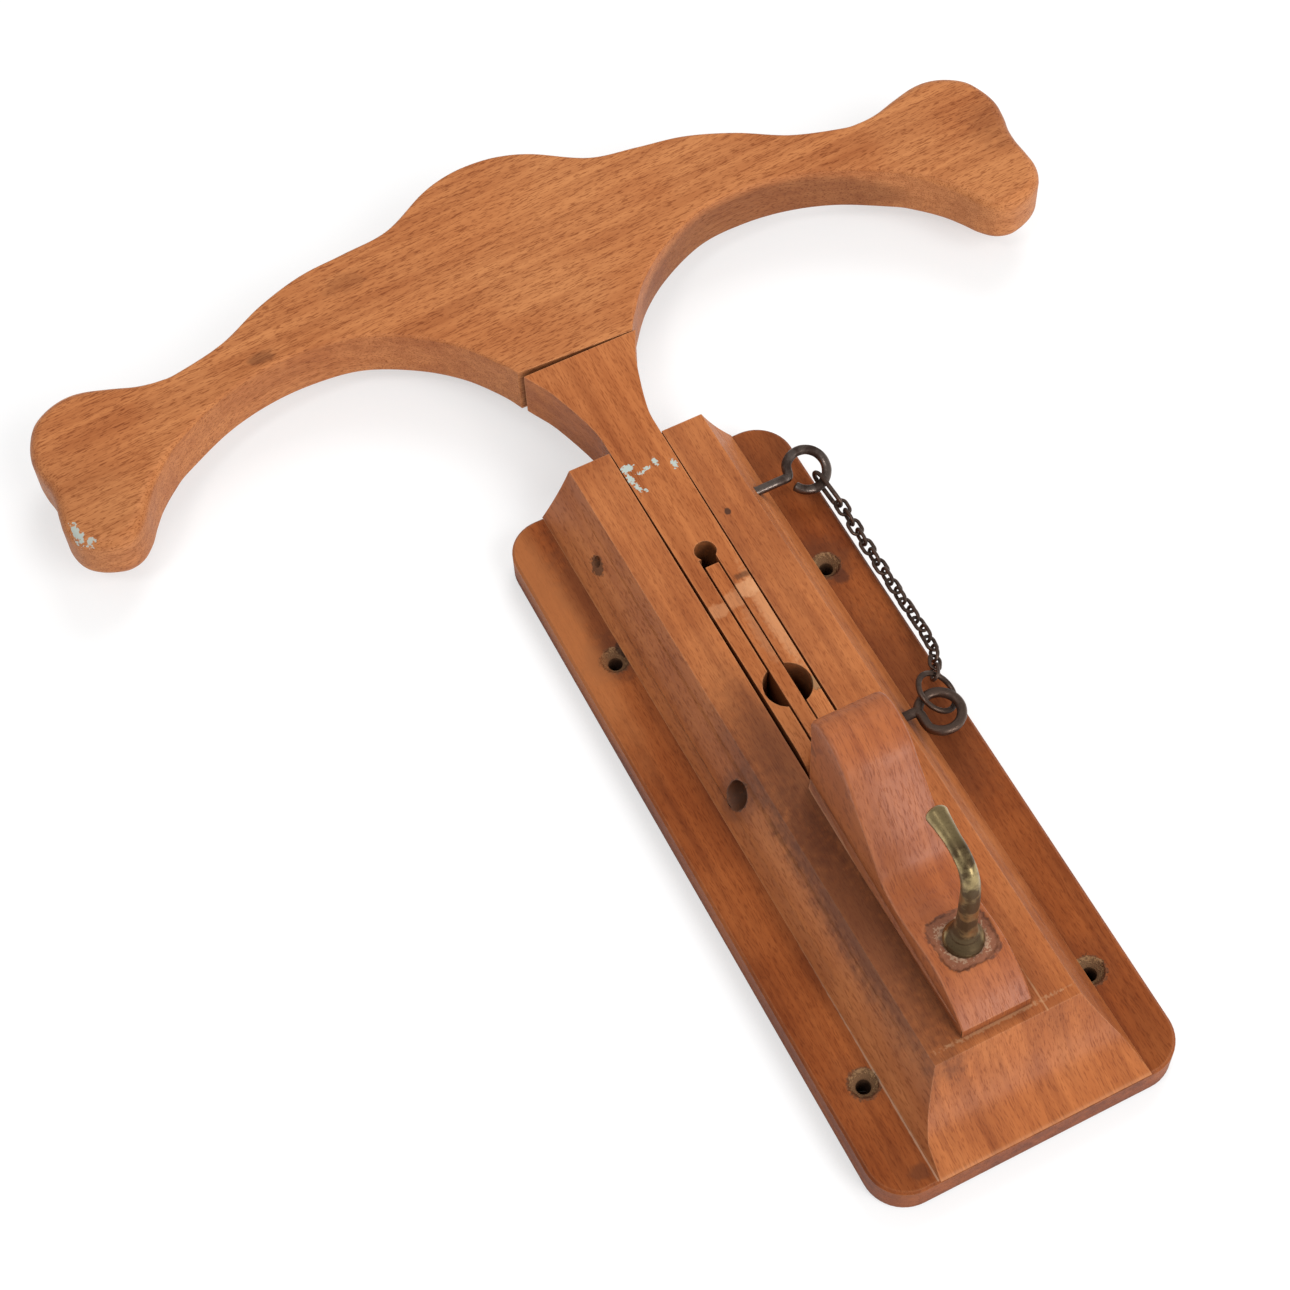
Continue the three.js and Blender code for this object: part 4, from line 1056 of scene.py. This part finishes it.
    def dress_dowels(self) -> None:
        """Dresses the two dowels in the joint, which keep their own shapes."""
        bare = BeechFinish(
            "dowel_beech", "pale_beech",
            pale=(0.60, 0.38, 0.20), mid=(0.52, 0.32, 0.16), deep=(0.42, 0.24, 0.11),
            flecks=0.6, roughness=0.6, corner_shade=0.3)
        for node in ("joint_dowel_1", "joint_dowel_2"):
            dress_node(node, bare.material(self.effects))

    def build(self) -> None:
        """Builds and dresses the arm's pieces."""
        self.build_yoke()
        self.build_neck()
        self.build_peg()
        self.dress_dowels()


@dataclass
class CorbelAndHook:
    """The corbel under the arm and the brass coat hook on it.

    Attributes:
        effects: the shared shader groups.
        width: the corbel's width, in mm.
        foot: the height of its foot, in mm.
        height: its own height, in mm.
        reach: how far it stands out, in mm.
        head_round: the radius of its upper corners seen from the front, in mm.
        housing_blend: how far from the housing its edges are still sharper, in mm.
        hook_right: the hook's place across, in mm.
        hook_height: the hook's height, in mm.
        recess_size: half the width of the worn recess round the hook, in mm.
        recess_depth: how deep it is, in mm.
    """

    effects: Effects
    width: float = 27.0
    foot: float = 34.0
    height: float = 110.0
    reach: float = 53.0
    head_round: float = 4.0
    housing_blend: float = 3.0
    hook_right: float = 1.0
    hook_height: float = 59.6
    recess_size: float = 10.6
    recess_depth: float = 0.7

    SIDE_SHARES = np.array([
        (0.1, 0), (0.21, 0.065), (0.296, 0.145), (0.312, 0.22), (0.29, 0.3), (0.258, 0.373), (0.264, 0.445),
        (0.33, 0.515), (0.5, 0.587), (0.626, 0.645), (0.758, 0.709), (0.9, 0.768), (0.975, 0.836),
        (0.996, 0.9), (0.956, 0.95), (0.86, 0.986), (0.74, 1)])

    # The hook's centreline as depth and rise above its seat, in mm
    HOOK_LINE = np.array([
        (50.6, 0), (52, 0), (54, 0), (56, 0), (58, 0), (61, 0), (66, -0.05), (74, -0.1), (82, 0.1),
        (89, 0.5), (94.5, 1.6), (99, 4.3), (101.6, 8.8), (102.2, 13.4), (102.3, 17.9), (102.3, 21.6),
        (102.3, 24)])
    # The distance along the hook and its radius there, in mm
    HOOK_TURNING = np.array([
        (0, 7.3), (3.3, 7.3), (3.9, 7.0), (4.6, 6.7), (5.0, 6.4), (5.4, 6.1), (6.2, 5.6), (7.4, 4.9),
        (7.9, 5.2), (8.5, 4.9), (10, 4.3), (14, 3.8), (20, 3.6), (30, 3.5), (40, 3.35), (50, 3.1),
        (60, 3.05), (66, 3.5), (70, 4.0), (74, 4.15)])

    def recess(self, right: np.ndarray, height: np.ndarray) -> np.ndarray:
        """How deep the ragged recess round the hook is, in mm.

        Its rim is a rounded square of about 21 mm whose radius wanders with the angle as a few
        sine waves, and its wall falls over 0.5 mm.

        Args:
            right: the points' places across, in mm.
            height: their heights, in mm.

        Returns:
            The depth at each point.
        """
        x, z = right - self.hook_right, height - self.hook_height - 0.5
        angle = np.arctan2(z, x)
        rim = self.recess_size / (np.cos(angle) ** 4 + np.sin(angle) ** 4) ** 0.25
        waves = 0.035 * np.sin(3 * angle + 1) + 0.02 * np.sin(5 * angle + 2.3) + 0.015 * np.sin(8 * angle)
        inside = np.clip((rim * (1 + waves) - np.hypot(x, z)) / 0.5, 0, 1)
        rough = 0.12 * np.sin(1.9 * right + 0.7) * np.sin(2.3 * height)
        return inside * (self.recess_depth + rough)

    def corbel(self) -> bpy.types.Object:
        """The corbel: its side outline carried across its width, with softened rims and the recess.

        The rims are nearly sharp at the housing, rounder from a few mm in front of it on, and
        roundest at the head. The upper corners are quarter circles seen from the front.

        Returns:
            The corbel, at the origin.
        """
        low, high = np.array([HOUSING_FRONT, self.foot]), np.array([HOUSING_FRONT, self.foot + self.height])
        bold = smooth_run(self.SIDE_SHARES * (self.reach, self.height) + low, 18)
        share = np.linspace(0, 1, 40)[:, None]
        top = bold[-1] * (1 - share) + high * share
        rear = high * (1 - share) + low * share
        foot = low * (1 - share) + bold[0] * share
        outline = np.vstack([bold, top[1:], rear[1:], foot[1:-1]])
        stand_out = outline[:, 0] - HOUSING_FRONT
        sharp, front, head, head_from, head_over = 0.15, 0.55, 0.8, 0.62 * self.reach, 12
        on_front = np.clip(stand_out / self.housing_blend, 0, 1)
        on_head = np.clip((stand_out - head_from) / head_over, 0, 1)
        radius = sharp + on_front * (front + head * on_head)
        slab = rounded_slab(outline, self.width / 2, radius, 44)
        depth, height = slab[..., 0], slab[..., 1]
        over = np.clip(height - (high[1] - self.head_round), 0, self.head_round)
        narrower = self.head_round - np.sqrt(self.head_round**2 - over**2)
        right = slab[..., 2] * (1 - narrower / (self.width / 2))
        carved = np.where(depth > HOUSING_FRONT + 5, self.recess(right, height), 0)
        points = np.stack([right, -(depth - carved), height - BOARD_MIDDLE], axis=-1) * MM
        return shell("corbel_carved", points, False, True)

    def hook(self) -> bpy.types.Object:
        """The hook: a turned foot, a shank that thins to the bend and swells again to a rounded end.

        Returns:
            The hook, at the origin.
        """
        route = smooth_run(self.HOOK_LINE + (0, self.hook_height), 8)
        across = np.full(len(route), self.hook_right)
        places = np.stack([across, -route[:, 0], route[:, 1] - BOARD_MIDDLE], axis=1)
        run = np.concatenate([[0], np.cumsum(np.linalg.norm(np.diff(route, axis=0), axis=1))])
        stops, radii = self.HOOK_TURNING.T
        places, thick = domed(places, np.interp(run, stops, radii), 0.6)
        rows = bar_along(places * MM, thick * MM, np.array([1.0, 0.0, 0.0]), 28)
        return shell("coat_hook_turned", rows, False, True)

    def build(self) -> None:
        """Builds and dresses both pieces."""
        finish = BeechFinish(
            "corbel_beech", "red_beech",
            pale=(0.44, 0.138, 0.040), mid=(0.350, 0.094, 0.022), deep=(0.250, 0.055, 0.012),
            figure=0.7, roughness=0.47, sheen=0.55, relief=1.4, lie=(1.0, 0.12, 1.0), worn_edge=0.4)
        middle = (self.hook_right, 52, self.hook_height + 0.5)
        marks = (
            Mark(middle, 10.6, (0.06, 0.02, 0.012), 0.7, 0.7, 0.9, (1, 0.4, 1), 0, 420, 1),
            Mark(middle, 9.8, (0.24, 0.085, 0.04), 0.8, 1.0, 1.1, (1, 0.4, 1), 0.1, 700, 1),
            Mark(middle, 7.0, (0.46, 0.31, 0.20), 0.6, 1.2, 2.2, (1, 0.4, 1), 0, 1100, 1),
            Mark(middle, 7.0, (0.09, 0.035, 0.02), 0.75, 1.2, 1.0, (1, 0.4, 1), 0, 700),
            Mark((13, 80, 141), 1.0, SPECK_AND_SHADE_BLACK, 0.6, 0.8, 0.5),
            Mark((0, 62, 144), 3, STAIN_AND_SHADE, 0.5, 2.2, 1.2, (0.1, 1, 1)),
        )
        settle(self.corbel(), "corbel", "base", finish.material(self.effects, marks))
        brass = MetalFinish(
            "aged_brass", "aged_brass", bright=(0.52, 0.40, 0.19), patina=(0.095, 0.062, 0.028),
            roughness=0.22, dull=0.2, bare=0.8, patch_scale=130, bump=0.3, rubbed_height=66)
        settle(self.hook(), "coat_hook", "base", brass.material(self.effects))


@dataclass
class EyePin:
    """A pin of bent iron rod with an eye.

    Attributes:
        node: the CAD node.
        body: the body that it rides on.
        seat: the depth and height of the shank's axis, in mm.
        tip: where the shank ends, in mm to the right.
        eye: the eye's centre to the right and above the shank, in mm.
        over: 1 where the rod runs over the eye first, -1 where it runs under it.
        last: the angle at which the rod ends, in degrees.
        tilt: how far the pin is turned on its shank, in degrees.
        radius: the rod's radius, in mm.
        eye_radius: the radius of the eye's centreline, in mm.
        first: the angle at which the rod runs into the eye, in degrees.
    """

    node: str
    body: str
    seat: tuple[float, float]
    tip: float
    eye: tuple[float, float]
    over: float
    last: float
    tilt: float = 0.0
    radius: float = 1.95
    eye_radius: float = 8.05
    first: float = 140.0

    def route(self) -> np.ndarray:
        """The rod's centreline in its own plane: a straight shank, an easy bend and the round eye.

        The bend is a cubic Bezier curve that leaves the shank and meets the eye along their own
        directions.

        Returns:
            Points of shape (count, 2): to the right and above the shank, in mm.
        """
        centre = np.array(self.eye)
        start = np.radians(self.first)
        arc_start = centre + self.eye_radius * np.array([np.cos(start), self.over * np.sin(start)])
        bend = np.array([self.eye[0] - self.eye_radius - 0.45 * self.radius, 0.0])
        pull = 0.4 * np.linalg.norm(arc_start - bend)
        leave = np.array([np.sin(start), -self.over * np.cos(start)])
        share = np.linspace(0, 1, 14)[1:, None]
        points = [bend, bend + (pull, 0), arc_start - pull * leave, arc_start]
        weights = [(1 - share) ** 3, 3 * share * (1 - share) ** 2, 3 * share**2 * (1 - share), share**3]
        easy = sum(weight * point for weight, point in zip(weights, points))
        shank = np.linspace((self.tip, 0.0), bend, 24)
        angle = np.radians(np.linspace(self.first, self.last, 60))[1:]
        eye = centre + self.eye_radius * np.stack([np.cos(angle), self.over * np.sin(angle)], axis=1)
        return np.vstack([shank, easy, eye])

    def build(self, finish: MetalFinish, effects: Effects) -> None:
        """Builds the pin and lets it stand for its node.

        Args:
            finish: the iron's finish.
            effects: the shared shader groups.
        """
        flat = self.route()
        places = np.stack([flat[:, 0], np.zeros(len(flat)), flat[:, 1]], axis=1)
        radii = self.radius * (1 - 0.03 * (1 + np.sin(flat[:, 0] * 1.3) * np.cos(flat[:, 1] * 0.9)) / 2)
        places, radii = domed(places, radii, 0.45)
        rows = bar_along(places, radii, np.array([0.0, 1.0, 0.0]), 22)
        turn = Matrix.Rotation(math.radians(self.tilt), 3, "X")
        rows = rows @ np.array(turn).T
        rows = rows + (0, -self.seat[0], self.seat[1] - BOARD_MIDDLE)
        settle(shell(f"{self.node}_bent", rows * MM, False, True), self.node, self.body,
               finish.material(effects))


@dataclass
class Chain:
    """The ring, the long link and the small links.

    Attributes:
        effects: the shared shader groups.
        finish: the iron's finish.
        small_links: how many small links there are.
        stoutness: how much thicker than on the model the small links' wire is drawn.
    """

    effects: Effects
    finish: MetalFinish
    small_links: int = 18
    stoutness: float = 1.2

    def oval(self, node: str, name: str, around: int, stout: float = 0.98) -> bpy.types.Object:
        """A smooth link in the place of a CAD link.

        The link's directions are those in which the CAD link's points spread most, less and
        least. Its centreline is two half circles joined by straight runs, and a circle is
        carried along it, a little thinner where the links have rubbed.

        Args:
            node: the CAD link.
            name: the new piece's name.
            around: points on each half circle.
            stout: the wire's thickness as a share of the CAD link's.

        Returns:
            The new link.
        """
        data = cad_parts[node].data
        points = np.empty(len(data.vertices) * 3)
        data.vertices.foreach_get("co", points)
        points = np.unique(points.reshape(-1, 3).round(8), axis=0)
        centre = (points.max(0) + points.min(0)) / 2
        axes = np.linalg.svd(points - points.mean(0), full_matrices=False)[2]
        axes[2] = np.cross(axes[0], axes[1])
        local = (points - centre) @ axes.T
        middle = (local.max(0) + local.min(0)) / 2
        centre = centre + middle @ axes
        length, width, wire = local.max(0) - local.min(0)
        bend, straight = (width - wire) / 2, (length - width) / 2
        angle = np.linspace(-math.pi / 2, math.pi / 2, around)
        end = np.stack([bend * np.cos(angle) + straight, bend * np.sin(angle)], axis=1)
        loop = np.vstack([end, -end])
        outward = np.stack([np.cos(angle), np.sin(angle)], axis=1)
        outward = np.vstack([outward, -outward])
        turn = np.linspace(0, 2 * math.pi, 12, endpoint=False)
        worn = 1 - 0.05 * np.abs(outward[:, :1])
        radius = wire / 2 * worn * stout
        flat = loop[:, None] + (radius * np.cos(turn))[..., None] * outward[:, None]
        lift = radius * np.sin(turn)
        rows = centre + flat[..., :1] * axes[0] + flat[..., 1:] * axes[1] + lift[..., None] * axes[2]
        return shell(name, rows, True, False)

    def build(self) -> None:
        """Builds every link, and gives the whole chain one material."""
        iron, slot = self.finish.material(self.effects), self.finish.slot
        settle(self.oval("chain_ring", "chain_ring_round", 26), "chain_ring", "base", iron)
        settle(self.oval("long_link", "long_link_smooth", 16), "long_link", "chain", iron)
        for number in range(1, self.small_links + 1):
            node = f"chain_link_{number:02d}"
            settle(self.oval(node, f"{node}_smooth", 12, self.stoutness), node, "chain", iron)


@dataclass
class HiddenFasteners:
    """The screws behind the board and the pivot's washer."""

    effects: Effects

    def build(self, iron: MetalFinish) -> None:
        """Dresses the nodes, which keep their own shapes.

        Args:
            iron: the finish of the washer.
        """
        steel = MetalFinish(
            "screw_steel", "screw_steel", bright=(0.55, 0.55, 0.56), patina=(0.33, 0.31, 0.29),
            roughness=0.34, dull=0.2, bare=0.9, bump=0.2)
        material = steel.material(self.effects)
        for node in sorted(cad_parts):
            if "screw" in node:
                dress_node(node, material)
        dress_node("pivot_washer", iron.material(self.effects))


@dataclass
class Studio:
    """The camera, the lights and the pale surface that the valet lies on.

    Attributes:
        eye: the camera's place, in metres.
        lens: its focal length, in mm, on a sensor 36 mm wide.
        right: the picture's rightward direction.
        down: its downward direction.
        forward: the viewing direction.
        covered: half the width and height of what the board covers, in metres.
        glow: the white that the camera sees on top of the surface's own.
    """

    eye: Triple = (-0.2414, -0.8732, -0.3910)
    lens: float = 74.25
    right: Triple = (0.8917, 0.0313, -0.4515)
    down: Triple = (-0.4017, 0.5144, -0.7576)
    forward: Triple = (0.2086, 0.8568, 0.4716)
    covered: tuple[float, float] = (0.055, 0.147)
    glow: float = 0.53

    def camera(self) -> None:
        """Sets up the camera at the photograph's viewing angle."""
        data = bpy.data.cameras.new("picture_camera")
        data.sensor_width = 36.0
        data.lens = self.lens
        data.clip_start, data.clip_end = 0.01, 50.0
        camera = bpy.data.objects.new("picture_camera", data)
        turn = Matrix((self.right, [-v for v in self.down], [-v for v in self.forward])).transposed()
        camera.matrix_world = Matrix.Translation(self.eye) @ turn.to_4x4()
        bpy.context.scene.collection.objects.link(camera)
        bpy.context.scene.camera = camera

    def lamp(self, name: str, place: Triple, size: float, power: float, mirrored: bool) -> None:
        """Adds a square soft light that faces the valet.

        Args:
            name: the light's name.
            place: where it stands, in metres.
            size: its width, in metres.
            power: its power, in watts.
            mirrored: whether it shows in reflections.
        """
        data = bpy.data.lights.new(name, "AREA")
        data.shape, data.size, data.energy = "SQUARE", size, power
        light = bpy.data.objects.new(name, data)
        light.visible_glossy = mirrored
        turn = Vector(place).to_track_quat("Z", "Y").to_matrix()
        light.matrix_world = Matrix.Translation(place) @ turn.to_4x4()
        bpy.context.scene.collection.objects.link(light)

    def backdrop(self) -> None:
        """Lays a white surface behind the board, seen from the front only.

        It adds to the object's shadow a white that only the camera sees, is painted dark as shade where the
        board covers it, and a ray that starts just in front of it, from the board's back, passes it.
        """
        half, level, just_behind = 3.0, 0.0008, 0.0015
        mesh = bpy.data.meshes.new("pale_surface")
        mesh.from_pydata(
            [(-half, level, -half), (half, level, -half), (half, level, half), (-half, level, half)],
            [], [(0, 1, 2, 3)])
        surface = bpy.data.objects.new("pale_surface", mesh)
        bpy.context.scene.collection.objects.link(surface)
        material = bpy.data.materials.new("pale_paper")
        material.use_nodes = True
        sheet = NodeSheet(material.node_tree)
        path = sheet.add("LightPath")
        seen = sheet.math("MAXIMUM", path.outputs["Is Camera Ray"], path.outputs["Is Transmission Ray"])
        place = sheet.add("SeparateXYZ", {0: sheet.add("TexCoord").outputs["Object"]})
        beyond = [sheet.math("ABSOLUTE", place.outputs[axis]) for axis in (0, 2)]
        beyond = [sheet.math("GREATER_THAN", gone, reach) for gone, reach in zip(beyond, self.covered)]
        open_air = sheet.math("MAXIMUM", *beyond)
        seen = sheet.math("MULTIPLY", seen, open_air)
        # Painted shade: the surface is dark brown where the board covers it, and this shows through the wall
        # holes.
        white, dimmed, painted_shade_behind = (0.86, 0.86, 0.86, 1.0), (0.45, 0.45, 0.45, 1.0), (0.05, 0.025, 0.015, 1.0)
        colour = sheet.blend(open_air, painted_shade_behind, sheet.blend(seen, white, dimmed))
        paper = sheet.add("BsdfDiffuse", {"Color": colour})
        glow = sheet.add("Emission", {"Strength": sheet.math("MULTIPLY", seen, self.glow)})
        front = sheet.add("AddShader", {0: paper.outputs[0], 1: glow.outputs[0]})
        near = sheet.math("LESS_THAN", path.outputs["Ray Length"], just_behind)
        behind = sheet.math("MAXIMUM", near, sheet.add("NewGeometry").outputs["Backfacing"])
        clear = sheet.add("BsdfTransparent")
        both = sheet.add("MixShader", {0: behind, 1: front.outputs[0], 2: clear.outputs[0]})
        sheet.add("OutputMaterial", {"Surface": both.outputs[0]})
        mesh.materials.append(material)

    def world(self) -> None:
        """Sets an even sky that is plain white to the camera and half as bright as a light."""
        world = bpy.data.worlds.new("pale_room")
        bpy.context.scene.world = world
        world.use_nodes = True
        sheet = NodeSheet(world.node_tree)
        path = sheet.add("LightPath")
        seen = path.outputs["Is Camera Ray"]
        strength = sheet.range(seen, 0.0, 1.0, 0.5, 1.0)
        sky = sheet.add("Background", {"Color": (1.0, 1.0, 1.0, 1.0), "Strength": strength})
        sheet.add("OutputWorld", {"Surface": sky.outputs[0]})

    def build(self) -> None:
        """Sets up everything round the valet."""
        self.camera()
        self.backdrop()
        self.world()
        self.lamp("key_softbox", (0.95, -2.4, -2.1), 1.7, 52.0, False)
        self.lamp("upper_softbox", (1.25, -2.4, 1.5), 1.5, 33.0, False)
        self.lamp("low_softbox", (0.6, -0.95, -2.2), 0.9, 16.0, True)
        self.lamp("front_glint", (-0.95, -1.9, -0.35), 0.45, 8.0, True)
        bpy.context.scene.view_settings.view_transform = "Standard"


def main() -> None:
    """Builds the valet's sub-assemblies one after the other."""
    logging.basicConfig(level=logging.INFO, format="%(name)s: %(message)s")
    Studio().build()
    effects = Effects()
    iron = MetalFinish(
        "dark_iron", "dark_iron", bright=(0.19, 0.15, 0.13), patina=(0.05, 0.031, 0.024),
        roughness=0.30, dull=0.24, bare=0.75)
    brown_iron = MetalFinish(
        "brown_iron", "dark_iron", bright=(0.145, 0.098, 0.076), patina=(0.056, 0.034, 0.025),
        roughness=0.40, dull=0.25, bare=0.6)
    Carcass(effects).build()
    FoldingArm(effects).build()
    CorbelAndHook(effects).build()
    lock_pin = EyePin(
        "lock_pin", "lock", seat=(25.0, 269.0), tip=13.4, eye=(55.9, 0.0), over=1, last=-146, tilt=22)
    lock_pin.build(iron, effects)
    pivot_pin = EyePin(
        "pivot_pin", "base", seat=(25.4, 155.7), tip=-29.3, eye=(47.4, -3.9), over=-1, last=-163)
    pivot_pin.build(brown_iron, effects)
    Chain(effects, brown_iron).build()
    HiddenFasteners(effects).build(iron)
    LOG.info("all pieces are in place")


if __name__ == "__main__":
    main()
